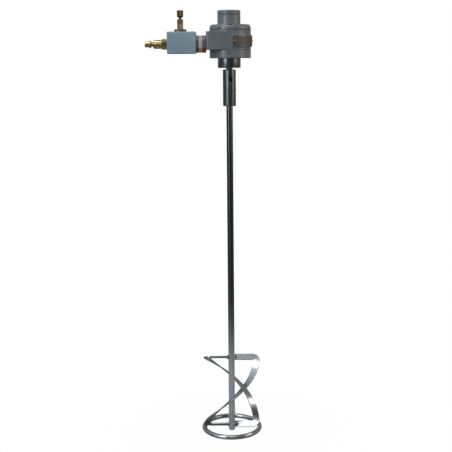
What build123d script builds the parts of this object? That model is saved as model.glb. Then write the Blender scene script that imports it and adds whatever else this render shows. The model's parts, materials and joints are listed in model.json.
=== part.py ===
"""Air-driven tank agitator: vane motor, inlet arm with speed valve, long shaft, twin-ribbon head.

Millimetres, +Z up. The origin is on the shaft axis at the lower face of the lower end plate.
The inlet arm points to -X and the front of the motor faces -Y.
"""
import os
from math import atan2, cos, pi, radians, sin, sqrt, tan

from build123d import *

# ---- clearances -------------------------------------------------------------------------------
running_clearance = 0.08      # radial, between a turning round and its hole
seat_clearance = 0.05         # radial, between a fitted round and its hole
face_clearance = 0.1          # between a turning end face and a fixed one
cut_margin = 1.0              # how far a cutting tool runs past a face

# ---- motor housing ----------------------------------------------------------------------------
body_diameter = 80.0
body_height = 37.0
shaft_offset = 2.2            # body and bore centre, from the shaft axis, towards +X
rotor_gap = 0.15              # between rotor and bore at their closest
lower_plate_thickness = 15.8
upper_plate_thickness = 10.3
upper_plate_rounding = 7.0
lower_plate_chamfer = 0.8
gasket_thickness = 0.4
upper_neck_diameter = 44.4
upper_neck_height = 17.5
pilot_diameter = 44.4
pilot_length = 18.4
shaft_hole_diameter = 14.0    # plain hole through each plate round the shaft

# ---- end cap ----------------------------------------------------------------------------------
cap_diameter = 44.8
cap_height = 9.4
cap_rounding = 3.0
cap_groove_height = 1.2
cap_groove_depth = 0.9
cap_spigot_length = 5.4
cap_hollow_diameter = 17.0
cap_hollow_depth = 3.0
cap_recess_diameter = 34.0
cap_recess_depth = 1.5
o_ring_section = 1.8
cap_screw_count = 3
cap_screw_first_angle = 90.0
cap_screw_circle = 37.4
cap_screw_diameter = 3.0
cap_screw_head_diameter = 5.5
cap_screw_head_height = 3.0
cap_screw_length = 12.0

# ---- plate screws, dowels and small holes -------------------------------------------------------
plate_screw_count = 4
plate_screw_first_angle = -90.0
plate_screw_circle = 67.0
plate_screw_diameter = 5.0
plate_screw_head_diameter = 8.5
plate_screw_head_height = 5.0
plate_screw_grip = 10.0       # how far a screw reaches into the body
head_clearance = 0.3
socket_depth_share = 0.5      # hex socket depth over head height
socket_width_share = 0.47     # hex socket width over head diameter
hex_chamfer_slope = 0.6       # length of a hexagon's end chamfer over its depth
corner_to_flat = 30.0         # degrees between a hexagon's corner and the middle of its flat
dowel_diameter = 3.0
dowel_length = 12.0
dowel_angle = 25.0
rim_hole_diameter = 3.0
rim_hole_depth = 6.0
rim_hole_angle = 238.5
rim_hole_from_seam = 2.6
rim_plug_diameter = 5.0
rim_plug_length = 3.0
rim_plug_angle = 267.0

# ---- inlet and exhaust bosses -------------------------------------------------------------------
boss_reach = 43.8             # end face, from the shaft axis towards -X
boss_face = 39.8              # flat side face, from the shaft axis
boss_height = 34.5
boss_rounding = 5.0
port_offset = 23.5            # port axes, from the shaft axis along Y
port_above_seam = 10.8        # port axes, above the body's lower face
port_diameter = 20.6
port_depth = 13.0
passage_diameter = 14.0
passage_end = -10.0           # inside the bore, from the shaft axis

# ---- nameplate pad ------------------------------------------------------------------------------
pad_start_angle = 274.0
pad_sweep = 100.0
pad_proud = 2.4
pad_height = 22.0
pad_above_seam = 16.2         # middle of the pad, above the body's lower face
nameplate_thickness = 0.5
nameplate_height = 18.6
nameplate_margin = 3.0        # degrees left bare at each end of the pad
rivet_diameter = 2.2
rivet_head_diameter = 3.6
rivet_head_height = 0.9
rivet_length = 4.0
rivet_margin = 4.5            # degrees from the nameplate's end to a rivet

# ---- shaft, rotor and bearings ------------------------------------------------------------------
shaft_diameter = 12.7
shaft_end_chamfer = 1.0
shaft_below_cap = 2.4         # motor shaft's end, below the upper neck's end
rotor_diameter = 51.5
rotor_slot_depth = 11.0
vane_thickness = 2.4
vane_slack = 0.1
vane_count = 4
vane_first_angle = 45.0
key_width = 3.2
key_height = 3.2
key_length = 24.0
bearing_diameter = 28.575
bearing_width = 7.94
race_thickness = 2.3
ball_diameter = 4.76
ball_count = 7
ball_clearance = 0.06
cage_width = 6.6
cage_clearance = 0.35
upper_bearing_rise = 2.1      # bearing seat, above the upper plate's top
lower_bearing_seat = 1.0
retaining_ring_thickness = 1.2
retaining_ring_depth = 1.0
retaining_ring_opening = 4.6
shaft_ring_thickness = 1.0
shaft_ring_height = 1.6       # stands this far above the shaft
shaft_groove_depth = 0.8
shaft_ring_opening = 3.2
seal_length = 6.35
seal_inset = 0.6
seal_lip_thickness = 2.0

# ---- coupling and mixing shaft ------------------------------------------------------------------
coupling_diameter = 25.4
coupling_length = 70.5
coupling_gap = 3.1            # between the pilot's end and the coupling
coupling_chamfer = 0.8
coupling_screw_diameter = 7.9
coupling_screw_length = 7.0
coupling_screw_inset = 19.5   # screw axis, from the coupling's end
coupling_screw_angle = 281.0
flat_depth = 0.5
motor_shaft_engagement = 33.5
shaft_end_gap = 1.0
mixer_shaft_length = 708.0

# ---- mixing head --------------------------------------------------------------------------------
head_diameter = 116.0
bar_width = 13.5
bar_thickness = 2.8
bar_bend_radius = 8.5         # centreline radius of the corner bends
head_height = 146.3           # from the bottom crossbar to the top one
shaft_past_bar = 12.0         # shaft below the bottom crossbar
helix_sections = 17
bend_sections = 5
lead_sections = 3             # along the straight bar before each bend
lead_length = 12.0
rear_start_slope = 29.0       # degrees below level where the rear ribbon leaves its top bend
rear_end_slope = 51.0         # degrees below level where it meets its bottom bend
ring_diameter = 124.0
ring_bar_diameter = 9.4
ring_below_bar = 5.0
shaft_weld_size = 6.6
shaft_weld_reach = 2.0        # weld centre, from the shaft's face
ring_weld_size = 3.6
ring_weld_inset = 3.8         # weld centre, inside the ring's centreline
ring_weld_back = 3.0
ring_weld_rise = 2.5          # weld centre, above the ring's centreline

# ---- union --------------------------------------------------------------------------------------
union_hex = 28.4              # across flats
union_tail_length = 7.6
union_nut_length = 6.2
union_body_length = 5.4
union_bore = 13.0
union_chamfer = 1.2

# ---- speed valve --------------------------------------------------------------------------------
block_length = 55.0
block_height = 41.6
block_depth = 40.0
block_rounding = 2.6
block_above_port = 2.6        # block centre, above the port axis
block_bore = 7.0
valve_from_centre = 2.3       # valve axis, from the block's centre towards -X
collar_diameter = 23.6
collar_top_diameter = 21.0
collar_height = 4.6
bonnet_hex = 11.2
bonnet_height = 10.8
bonnet_chamfer = 0.8
bonnet_thread_diameter = 10.0
bonnet_thread_length = 7.0
packing_nut_hex = 11.2
packing_nut_height = 7.8
packing_nut_chamfer = 1.6
packing_height = 3.0
stem_diameter = 5.0
packing_diameter = 8.0
gland_depth = 2.0             # how far the packing nut reaches into the bonnet
plunger_diameter = 8.0
needle_tip_diameter = 2.0
needle_tip_length = 7.0
needle_pocket_depth = 3.0     # below the air passage
stem_lift = 1.875             # travel each way from rest
stop_gap = 0.4                # left at each end of the travel
stem_ring_section = 1.5
knob_diameter = 12.2
knob_height = 14.2
knob_gap = 2.3                # knob above the packing nut at rest
knob_shoulder = 3.4
knob_edge = 0.8
knob_bore_depth = 9.0
knob_screw_head_diameter = 5.6
knob_screw_head_height = 1.6
knob_screw_diameter = 2.6
knob_screw_length = 5.0
knob_slot_width = 0.8

# ---- air plug -----------------------------------------------------------------------------------
plug_thread_diameter = 13.2
plug_thread_length = 11.0
plug_hex = 17.4
plug_hex_length = 10.6
plug_barrel_diameter = 16.6
plug_barrel_length = 16.2
plug_neck_diameter = 8.4
plug_neck_length = 3.0
plug_collar_diameter = 14.2
plug_collar_length = 5.2
plug_nose_diameter = 10.8
plug_nose_length = 8.0
plug_edge = 0.8
plug_barrel_edge = 1.6
plug_collar_flank = 1.7       # along the plug, on each side of the collar
plug_bore = 5.6

# ---- levels and radii that follow from the sizes above ------------------------------------------
body_radius = body_diameter / 2
body_bottom = lower_plate_thickness + gasket_thickness
body_top = body_bottom + body_height
upper_plate_bottom = body_top + gasket_thickness
upper_plate_top = upper_plate_bottom + upper_plate_thickness
neck_top = upper_plate_top + upper_neck_height
cap_top = neck_top + cap_height
port_height = body_bottom + port_above_seam
pad_centre_height = body_bottom + pad_above_seam
upper_bearing_seat = upper_plate_top + upper_bearing_rise
motor_shaft_top = neck_top - shaft_below_cap
chamber_bottom = lower_plate_thickness
chamber_top = upper_plate_bottom
shaft_radius = shaft_diameter / 2
bearing_radius = bearing_diameter / 2
ball_circle_radius = (shaft_radius + bearing_radius) / 2
rotor_slot_width = vane_thickness + 2 * vane_slack
rotor_radius = rotor_diameter / 2
bore_radius = rotor_radius + shaft_offset + rotor_gap
coupling_top = -pilot_length - coupling_gap
coupling_bottom = coupling_top - coupling_length
motor_shaft_bottom = coupling_top - motor_shaft_engagement
mixer_shaft_top = motor_shaft_bottom - shaft_end_gap
mixer_shaft_bottom = mixer_shaft_top - mixer_shaft_length
bottom_bar_height = mixer_shaft_bottom + shaft_past_bar
top_bar_height = bottom_bar_height + head_height
ring_height = bottom_bar_height - ring_below_bar
bar_centre_radius = (head_diameter - bar_width) / 2
ring_radius = (ring_diameter - ring_bar_diameter) / 2
helix_slope = atan2(top_bar_height - bottom_bar_height, pi * bar_centre_radius)
union_start = -boss_reach
block_end = union_start - union_tail_length - union_nut_length - union_body_length
block_start = block_end - block_length
block_centre_height = port_height + block_above_port
block_top = block_centre_height + block_height / 2
valve_x = (block_start + block_end) / 2 - valve_from_centre
collar_top = block_top + collar_height
bonnet_top = collar_top + bonnet_height
packing_nut_top = bonnet_top + packing_nut_height
knob_bottom = packing_nut_top + knob_gap
knob_top = knob_bottom + knob_height
stem_top = knob_bottom + knob_bore_depth
needle_pocket_bottom = port_height - block_bore / 2 - needle_pocket_depth
needle_tip = needle_pocket_bottom + stop_gap + stem_lift
bonnet_bottom = block_top - bonnet_thread_length
plunger_top = bonnet_bottom - stop_gap - stem_lift
plunger_hole_radius = plunger_diameter / 2 + running_clearance
stem_hole_radius = stem_diameter / 2 + running_clearance


# ---- helpers ------------------------------------------------------------------------------------
def rod(radius, bottom, top, x=0.0, y=0.0):
    """Upright cylinder between two levels."""
    return Pos(x, y, bottom) * Cylinder(radius, top - bottom, align=(Align.CENTER, Align.CENTER, Align.MIN))


def tube(outer_radius, inner_radius, bottom, top, x=0.0, y=0.0):
    """Upright ring between two levels."""
    hole = rod(inner_radius, bottom - cut_margin, top + cut_margin, x, y)
    return rod(outer_radius, bottom, top, x, y) - hole


def arm_rod(radius, start, end, y=-port_offset):
    """Cylinder along X on a port axis, from start to end, with start further towards -X."""
    base = Plane(origin=(start, y, port_height), x_dir=(0, 1, 0), z_dir=(1, 0, 0))
    return extrude(base * Circle(radius), end - start)


def arm_hex(flats, start, end, chamfer_size):
    """Hexagon along the port axis, corners up and down, with turned end chamfers."""
    base = Plane(origin=(start, -port_offset, port_height), x_dir=(0, 1, 0), z_dir=(1, 0, 0))
    radius = flats / sqrt(3)
    prism = extrude(base * RegularPolygon(radius, 6, rotation=corner_to_flat), end - start)
    slope = chamfer_size * hex_chamfer_slope
    outline = Polyline(
        (start, 0), (start, radius - chamfer_size), (start + slope, radius),
        (end - slope, radius), (end, radius - chamfer_size), (end, 0), close=True)
    turned = revolve(make_face(outline), Axis.X)
    return prism & (Pos(0, -port_offset, port_height) * turned)


def upright_hex(flats, bottom, top, chamfer_size, x, y):
    """Hexagon standing on the valve axis, with turned end chamfers."""
    radius = flats / sqrt(3)
    prism = extrude(Plane.XY.offset(bottom) * RegularPolygon(radius, 6, rotation=corner_to_flat), top - bottom)
    slope = chamfer_size * hex_chamfer_slope
    outline = Polyline(
        (0, 0, bottom), (radius - chamfer_size, 0, bottom), (radius, 0, bottom + slope),
        (radius, 0, top - slope), (radius - chamfer_size, 0, top), (0, 0, top), close=True)
    return Pos(x, y, 0) * (prism & revolve(make_face(outline), Axis.Z))


def turned(points):
    """Solid of revolution about Z from (radius, height) points that close on the axis."""
    outline = Polyline(*[(radius, 0, height) for radius, height in points], close=True)
    return revolve(make_face(outline), Axis.Z)


def around(count, first_angle=0.0):
    """Evenly spaced angles in degrees."""
    return [first_angle + 360.0 * index / count for index in range(count)]


def polar(radius, angle, x=0.0, y=0.0):
    """Point at an angle in degrees round a centre."""
    return x + radius * cos(radians(angle)), y + radius * sin(radians(angle))


def socket_screw(diameter, head_diameter, head_height, length, x, y, head_seat, up=1):
    """Socket head screw; the head stands on head_seat and the shank goes the other way."""
    head = Cylinder(head_diameter / 2, head_height, align=(Align.CENTER, Align.CENTER, Align.MIN))
    shank = Cylinder(diameter / 2, length, align=(Align.CENTER, Align.CENTER, Align.MAX))
    depth = head_height * socket_depth_share
    hex_radius = head_diameter * socket_width_share / sqrt(3)
    base = Plane.XY.offset(head_height - depth)
    socket = extrude(base * RegularPolygon(hex_radius, 6), depth + cut_margin)
    screw = head + shank - socket
    if up < 0:
        screw = Rot(180, 0, 0) * screw
    return Pos(x, y, head_seat) * screw


def radial_rod(radius, inner, outer, angle, height):
    """Cylinder pointing outwards from the body's centre."""
    direction = (cos(radians(angle)), sin(radians(angle)), 0)
    start = polar(inner, angle, shaft_offset)
    base = Plane(origin=(start[0], start[1], height), z_dir=direction)
    return extrude(base * Circle(radius), outer - inner)


def plate_screw_places():
    angles = around(plate_screw_count, plate_screw_first_angle)
    return [polar(plate_screw_circle / 2, angle, shaft_offset) for angle in angles]


def cap_screw_places():
    angles = around(cap_screw_count, cap_screw_first_angle)
    return [polar(cap_screw_circle / 2, angle) for angle in angles]


def dowel_places():
    return [polar(plate_screw_circle / 2, dowel_angle, shaft_offset),
            polar(plate_screw_circle / 2, dowel_angle + 180.0, shaft_offset)]


# ---- motor housing ------------------------------------------------------------------------------
def port_boss(side):
    """Tangential port boss; side is -1 for the front one and +1 for the rear one."""
    depth = 2 * (boss_face - port_offset)
    inner = port_offset - depth / 2
    length = boss_reach + shaft_offset
    middle = side * (inner + boss_face) / 2
    block = Box(length, depth, boss_height)
    block = Pos((shaft_offset - boss_reach) / 2, middle, body_bottom + boss_height / 2) * block
    corner = block.edges().filter_by(Axis.Z).sort_by(lambda edge: edge.center().X)[:2]
    outer_corner = sorted(corner, key=lambda edge: side * edge.center().Y)[-1]
    return fillet(outer_corner, boss_rounding)


def pad_ring(inner_radius, outer_radius, height, start_angle, sweep):
    """Curved band round the body, centred on the nameplate's height."""
    bottom = pad_centre_height - height / 2
    outline = Polyline(
        (inner_radius, 0, bottom), (outer_radius, 0, bottom),
        (outer_radius, 0, bottom + height), (inner_radius, 0, bottom + height), close=True)
    band = revolve(make_face(outline), Axis.Z, sweep)
    return Pos(shaft_offset, 0, 0) * (Rot(0, 0, start_angle) * band)


def motor_body():
    shell = rod(body_radius, body_bottom, body_top, shaft_offset)
    pad = pad_ring(body_radius - cut_margin, body_radius + pad_proud, pad_height, pad_start_angle, pad_sweep)
    shell = shell + pad + port_boss(-1) + port_boss(1)
    shell -= rod(bore_radius, body_bottom - cut_margin, body_top + cut_margin, shaft_offset)
    for side in (-1, 1):
        y = side * port_offset
        shell -= arm_rod(port_diameter / 2, -boss_reach - cut_margin, -boss_reach + port_depth, y)
        shell -= arm_rod(passage_diameter / 2, -boss_reach + port_depth, passage_end, y)
    for x, y in plate_screw_places():
        hole = plate_screw_grip + cut_margin
        shell -= rod(plate_screw_diameter / 2, body_bottom - cut_margin, body_bottom + hole, x, y)
        shell -= rod(plate_screw_diameter / 2, body_top - hole, body_top + cut_margin, x, y)
    for x, y in dowel_places():
        shell -= rod(dowel_diameter / 2, body_bottom - cut_margin, body_bottom + dowel_length / 2, x, y)
        shell -= rod(dowel_diameter / 2, body_top - dowel_length / 2, body_top + cut_margin, x, y)
    for angle in rivet_angles():
        inner = body_radius + pad_proud - rivet_length + rivet_head_height
        outer = body_radius + pad_proud + cut_margin
        shell -= radial_rod(rivet_diameter / 2, inner, outer, angle, pad_centre_height)
    return shell


def lower_end_plate():
    outline = [
        (shaft_hole_diameter / 2, lower_bearing_seat), (bearing_radius, lower_bearing_seat),
        (bearing_radius, -pilot_length), (pilot_diameter / 2 - lower_plate_chamfer, -pilot_length),
        (pilot_diameter / 2, -pilot_length + lower_plate_chamfer), (pilot_diameter / 2, cut_margin),
        (shaft_hole_diameter / 2, cut_margin)]
    neck = turned(outline)
    disc = rod(body_radius, 0, lower_plate_thickness, shaft_offset)
    rim = disc.edges().group_by(Axis.Z)[0]
    disc = chamfer(rim, lower_plate_chamfer)
    disc -= rod(bearing_radius, -cut_margin, lower_bearing_seat)
    disc -= rod(shaft_hole_diameter / 2, -cut_margin, lower_plate_thickness + cut_margin)
    plate = disc + neck
    ring_top = lower_bearing_seat - bearing_width
    plate -= tube(bearing_radius + retaining_ring_depth, bearing_radius - cut_margin,
                  ring_top - retaining_ring_thickness, ring_top)
    for x, y in plate_screw_places():
        shank = plate_screw_diameter / 2 + seat_clearance
        head = plate_screw_head_diameter / 2 + head_clearance
        plate -= rod(shank, -cut_margin, lower_plate_thickness + cut_margin, x, y)
        plate -= rod(head, -cut_margin, plate_screw_head_height, x, y)
    for x, y in dowel_places():
        plate -= rod(dowel_diameter / 2, lower_plate_thickness + gasket_thickness - dowel_length / 2,
                     lower_plate_thickness + cut_margin, x, y)
    height = lower_plate_thickness - rim_hole_from_seam
    plate -= radial_rod(rim_hole_diameter / 2, body_radius - rim_hole_depth, body_radius + cut_margin,
                        rim_hole_angle, height)
    return plate - rim_plug_rod(body_radius + cut_margin)


def rim_plug_rod(outer):
    """Bar from the plug's inner end out to a radius, between two of the plate screws."""
    return radial_rod(rim_plug_diameter / 2, body_radius - rim_plug_length, outer, rim_plug_angle,
                      lower_plate_thickness / 2)


def plate_plug():
    plug = rim_plug_rod(body_radius - head_clearance)
    height = lower_plate_thickness / 2
    hex_radius = rim_plug_diameter * socket_width_share / sqrt(3)
    direction = (cos(radians(rim_plug_angle)), sin(radians(rim_plug_angle)), 0)
    x, y = polar(body_radius - rim_plug_length * socket_depth_share, rim_plug_angle, shaft_offset)
    base = Plane(origin=(x, y, height), z_dir=direction)
    return plug - extrude(base * RegularPolygon(hex_radius, 6), rim_plug_length)


def upper_end_plate():
    disc = rod(body_radius, upper_plate_bottom, upper_plate_top, shaft_offset)
    disc = fillet(disc.edges().group_by(Axis.Z)[-1], upper_plate_rounding)
    neck = rod(upper_neck_diameter / 2, upper_plate_top - cut_margin, neck_top)
    plate = disc + neck
    plate -= rod(bearing_radius, upper_bearing_seat, neck_top + cut_margin)
    plate -= rod(shaft_hole_diameter / 2, upper_plate_bottom - cut_margin, upper_bearing_seat + cut_margin)
    for x, y in plate_screw_places():
        plate -= rod(plate_screw_diameter / 2 + seat_clearance, upper_plate_bottom - cut_margin,
                     upper_plate_top + cut_margin, x, y)
        plate -= rod(plate_screw_head_diameter / 2 + head_clearance, upper_plate_top - plate_screw_head_height,
                     upper_plate_top + cut_margin, x, y)
    for x, y in dowel_places():
        plate -= rod(dowel_diameter / 2, upper_plate_bottom - cut_margin,
                     body_top + dowel_length / 2, x, y)
    for x, y in cap_screw_places():
        plate -= rod(cap_screw_diameter / 2, neck_top - cap_screw_length, neck_top + cut_margin, x, y)
    height = upper_plate_bottom + rim_hole_from_seam
    plate -= radial_rod(rim_hole_diameter / 2, body_radius - rim_hole_depth, body_radius + cut_margin,
                        rim_hole_angle, height)
    return plate


def gasket(bottom):
    ring = tube(body_radius - seat_clearance, bore_radius, bottom, bottom + gasket_thickness, shaft_offset)
    for x, y in plate_screw_places():
        ring -= rod(plate_screw_diameter / 2, bottom - cut_margin, bottom + gasket_thickness + cut_margin, x, y)
    for x, y in dowel_places():
        ring -= rod(dowel_diameter / 2, bottom - cut_margin, bottom + gasket_thickness + cut_margin, x, y)
    return ring


def end_cap():
    radius = cap_diameter / 2
    spigot = bearing_radius - seat_clearance
    lip = neck_top + cap_groove_height
    groove = cap_groove_height
    profile = [
        (0, cap_top - cap_recess_depth), (cap_recess_diameter / 2, cap_top - cap_recess_depth),
        (cap_recess_diameter / 2 + cap_recess_depth, cap_top), (radius, cap_top),
        (radius, lip + groove), (radius - cap_groove_depth, lip + groove), (radius - cap_groove_depth, lip),
        (radius, lip), (radius, neck_top), (spigot, neck_top), (spigot, neck_top - cap_spigot_length),
        (cap_hollow_diameter / 2, neck_top - cap_spigot_length),
        (cap_hollow_diameter / 2, neck_top + cap_hollow_depth),
        (0, neck_top + cap_hollow_depth)]
    cap = turned(profile)
    top_edge = [edge for edge in cap.edges().filter_by(GeomType.CIRCLE)
                if abs(edge.radius - radius) < seat_clearance and edge.center().Z > cap_top - seat_clearance]
    cap = fillet(top_edge, cap_rounding)
    cap -= cap_o_ring_space()
    for x, y in cap_screw_places():
        cap -= rod(cap_screw_diameter / 2 + seat_clearance, neck_top - cut_margin, cap_top + cut_margin, x, y)
        cap -= rod(cap_screw_head_diameter / 2 + seat_clearance, cap_screw_seat(), cap_top + cut_margin, x, y)
    return cap


def cap_screw_seat():
    return cap_top - cap_screw_head_height - head_clearance


def cap_o_ring_space():
    """Groove round the cap's spigot that the O-ring fills."""
    middle = neck_top - cap_spigot_length / 2
    outer = bearing_radius + cut_margin
    return tube(outer, bearing_radius - o_ring_section, middle - o_ring_section / 2, middle + o_ring_section / 2)


def cap_o_ring():
    middle = neck_top - cap_spigot_length / 2
    section = o_ring_section / 2
    return Pos(0, 0, middle) * Torus(bearing_radius - section, section)


def cap_screws():
    length = cap_screw_seat() - neck_top + cap_screw_length - cut_margin
    return Compound([
        socket_screw(cap_screw_diameter, cap_screw_head_diameter, cap_screw_head_height,
                     length, x, y, cap_screw_seat())
        for x, y in cap_screw_places()])


def lower_plate_screws():
    seat = plate_screw_head_height
    length = body_bottom + plate_screw_grip - seat
    return Compound([
        socket_screw(plate_screw_diameter, plate_screw_head_diameter, plate_screw_head_height - head_clearance,
                     length, x, y, seat, up=-1)
        for x, y in plate_screw_places()])


def upper_plate_screws():
    seat = upper_plate_top - plate_screw_head_height
    length = seat - body_top + plate_screw_grip
    return Compound([
        socket_screw(plate_screw_diameter, plate_screw_head_diameter, plate_screw_head_height - head_clearance,
                     length, x, y, seat)
        for x, y in plate_screw_places()])


def dowel_pins():
    pins = []
    for x, y in dowel_places():
        pins.append(rod(dowel_diameter / 2, body_bottom - dowel_length / 2, body_bottom + dowel_length / 2, x, y))
        pins.append(rod(dowel_diameter / 2, body_top - dowel_length / 2, body_top + dowel_length / 2, x, y))
    return Compound(pins)


def rivet_angles():
    first = pad_start_angle + nameplate_margin + rivet_margin
    last = pad_start_angle + pad_sweep - nameplate_margin - rivet_margin
    return (first, last)


def nameplate():
    inner = body_radius + pad_proud + seat_clearance
    plate = pad_ring(inner, inner + nameplate_thickness, nameplate_height,
                     pad_start_angle + nameplate_margin, pad_sweep - 2 * nameplate_margin)
    for angle in rivet_angles():
        plate -= radial_rod(rivet_diameter / 2, inner - cut_margin, inner + cut_margin, angle, pad_centre_height)
    return plate


def nameplate_rivets():
    face = body_radius + pad_proud + seat_clearance + nameplate_thickness
    rivets = []
    for angle in rivet_angles():
        inner = body_radius + pad_proud - rivet_length + rivet_head_height
        shank = radial_rod(rivet_diameter / 2, inner, face + seat_clearance, angle, pad_centre_height)
        head = radial_rod(rivet_head_diameter / 2, face + seat_clearance, face + rivet_head_height, angle,
                          pad_centre_height)
        rivets.append(shank + head)
    return Compound(rivets)


# ---- bearings and seal --------------------------------------------------------------------------
def race_groove():
    """Track that both races are cut with: a torus a little larger than the balls."""
    return Torus(ball_circle_radius, ball_diameter / 2 + ball_clearance)


def outer_race(bottom):
    ring = tube(bearing_radius, bearing_radius - race_thickness, bottom, bottom + bearing_width)
    return ring - Pos(0, 0, bottom + bearing_width / 2) * race_groove()


def inner_race(bottom):
    ring = tube(shaft_radius + race_thickness, shaft_radius, bottom, bottom + bearing_width)
    return ring - Pos(0, 0, bottom + bearing_width / 2) * race_groove()


def bearing_balls(bottom):
    middle = bottom + bearing_width / 2
    places = [polar(ball_circle_radius, angle) for angle in around(ball_count)]
    return Compound([Pos(x, y, middle) * Sphere(ball_diameter / 2) for x, y in places])


def bearing_cage(bottom):
    middle = bottom + bearing_width / 2
    inner = shaft_radius + race_thickness + cage_clearance
    outer = bearing_radius - race_thickness - cage_clearance
    cage = tube(outer, inner, middle - cage_width / 2, middle + cage_width / 2)
    for angle in around(ball_count):
        base = Plane(origin=(0, 0, middle), z_dir=(cos(radians(angle)), sin(radians(angle)), 0))
        cage -= extrude(base * Circle(ball_diameter / 2 + seat_clearance), bearing_radius)
    return cage


def bearing_spring():
    """Spring washer that fills the space between the upper bearing and the cap's spigot."""
    bottom = upper_bearing_seat + bearing_width
    return tube(bearing_radius - seat_clearance, bearing_radius - race_thickness, bottom,
                neck_top - cap_spigot_length)


def bearing_retaining_ring():
    top = lower_bearing_seat - bearing_width
    ring = tube(bearing_radius + retaining_ring_depth, bearing_radius - race_thickness,
                top - retaining_ring_thickness, top)
    gap = Pos(0, -bearing_radius, top) * Box(retaining_ring_opening, bearing_radius, bearing_width)
    return ring - gap


def shaft_seal():
    bottom = -pilot_length + seal_inset
    top = bottom + seal_length
    lip = shaft_radius + running_clearance
    outer = bearing_radius
    outline = [
        (lip + seal_lip_thickness, bottom), (outer, bottom), (outer, top), (outer - seal_lip_thickness, top),
        (outer - seal_lip_thickness, bottom + seal_lip_thickness),
        (lip + seal_lip_thickness, bottom + seal_lip_thickness),
        (lip + seal_lip_thickness / 2, top - seal_lip_thickness), (lip, top - seal_lip_thickness)]
    return turned(outline)


# ---- rotor and shafts ---------------------------------------------------------------------------
def rotor():
    bottom = chamber_bottom + face_clearance
    top = chamber_top - face_clearance
    core = tube(rotor_radius, shaft_radius, bottom, top)
    slot_length = rotor_slot_depth + cut_margin
    middle = rotor_radius + cut_margin - slot_length / 2
    for angle in around(vane_count, vane_first_angle):
        slot = Pos(middle, 0, (bottom + top) / 2) * Box(slot_length, rotor_slot_width, top - bottom + cut_margin)
        core -= Rot(0, 0, angle) * slot
    return core - key_space()


def rotor_vanes():
    bottom = chamber_bottom + face_clearance
    top = chamber_top - face_clearance
    length = rotor_slot_depth - vane_slack
    middle = rotor_radius - rotor_slot_depth + length / 2
    blade = Pos(middle, 0, (bottom + top) / 2) * Box(length, vane_thickness, top - bottom)
    rim = rod(rotor_radius, bottom - cut_margin, top + cut_margin)
    blade = blade & rim
    return Compound([Rot(0, 0, angle) * blade for angle in around(vane_count, vane_first_angle)])


def key_space():
    middle = (chamber_bottom + chamber_top) / 2
    return Pos(shaft_radius, 0, middle) * Box(key_height, key_width, key_length)


def rotor_key():
    return key_space()


def shaft_ring_levels():
    """Lower faces of the two retaining rings: above the upper bearing and below the lower one."""
    return (upper_bearing_seat + bearing_width, lower_bearing_seat - bearing_width - shaft_ring_thickness)


def motor_shaft():
    shaft = rod(shaft_radius, motor_shaft_bottom, motor_shaft_top)
    ends = shaft.edges().filter_by(GeomType.CIRCLE)
    shaft = chamfer(ends, shaft_end_chamfer)
    shaft -= key_space()
    for level in shaft_ring_levels():
        shaft -= tube(shaft_radius + cut_margin, shaft_radius - shaft_groove_depth,
                      level, level + shaft_ring_thickness)
    return shaft - screw_flat(coupling_top - coupling_screw_inset, coupling_screw_angle)


def shaft_retaining_rings():
    rings = []
    for level in shaft_ring_levels():
        ring = tube(shaft_radius + shaft_ring_height, shaft_radius - shaft_groove_depth,
                    level, level + shaft_ring_thickness)
        gap = Pos(0, shaft_radius, level) * Box(shaft_ring_opening, shaft_radius, bearing_width)
        rings.append(ring - gap)
    return Compound(rings)


def screw_flat(height, angle):
    """Flat milled on a shaft under a set screw."""
    depth = flat_depth + cut_margin
    block = Pos(shaft_radius - flat_depth + depth / 2, 0, height) \
        * Box(depth, shaft_diameter, coupling_screw_diameter + 2 * cut_margin)
    return Rot(0, 0, angle) * block


def coupling_screw_spots():
    """Height and angle of the upper and the lower set screw."""
    return ((coupling_top - coupling_screw_inset, coupling_screw_angle),
            (coupling_bottom + coupling_screw_inset, coupling_screw_angle + 180.0))


def coupling():
    sleeve = rod(coupling_diameter / 2, coupling_bottom, coupling_top)
    sleeve = chamfer(sleeve.edges().filter_by(GeomType.CIRCLE), coupling_chamfer)
    sleeve -= rod(shaft_radius, coupling_bottom - cut_margin, coupling_top + cut_margin)
    for height, angle in coupling_screw_spots():
        sleeve -= coupling_screw_rod(coupling_diameter / 2 + cut_margin, height, angle)
    return sleeve


def coupling_screw_rod(outer, height, angle):
    base = Plane(origin=(0, 0, height), z_dir=(cos(radians(angle)), sin(radians(angle)), 0))
    inner = shaft_radius - flat_depth
    return extrude(base.offset(inner) * Circle(coupling_screw_diameter / 2), outer - inner)


def coupling_screws():
    screws = []
    for height, angle in coupling_screw_spots():
        outer = shaft_radius - flat_depth + coupling_screw_length
        screw = coupling_screw_rod(outer, height, angle)
        base = Plane(origin=(0, 0, height), z_dir=(cos(radians(angle)), sin(radians(angle)), 0))
        hex_radius = coupling_screw_diameter * socket_width_share / sqrt(3)
        depth = coupling_screw_length * socket_depth_share
        screw -= extrude(base.offset(outer - depth) * RegularPolygon(hex_radius, 6), depth + cut_margin)
        screws.append(screw)
    return Compound(screws)


def mixer_shaft():
    shaft = rod(shaft_radius, mixer_shaft_bottom, mixer_shaft_top)
    shaft = chamfer(shaft.edges().filter_by(GeomType.CIRCLE), shaft_end_chamfer)
    height, angle = coupling_screw_spots()[1]
    return shaft - screw_flat(height, angle)


# ---- mixing head --------------------------------------------------------------------------------
def bar_section(place, outward, along):
    """Flat-bar section with its width along outward, square to the way the bar runs."""
    return Plane(origin=place, x_dir=outward, z_dir=along) * Rectangle(bar_width, bar_thickness)


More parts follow.
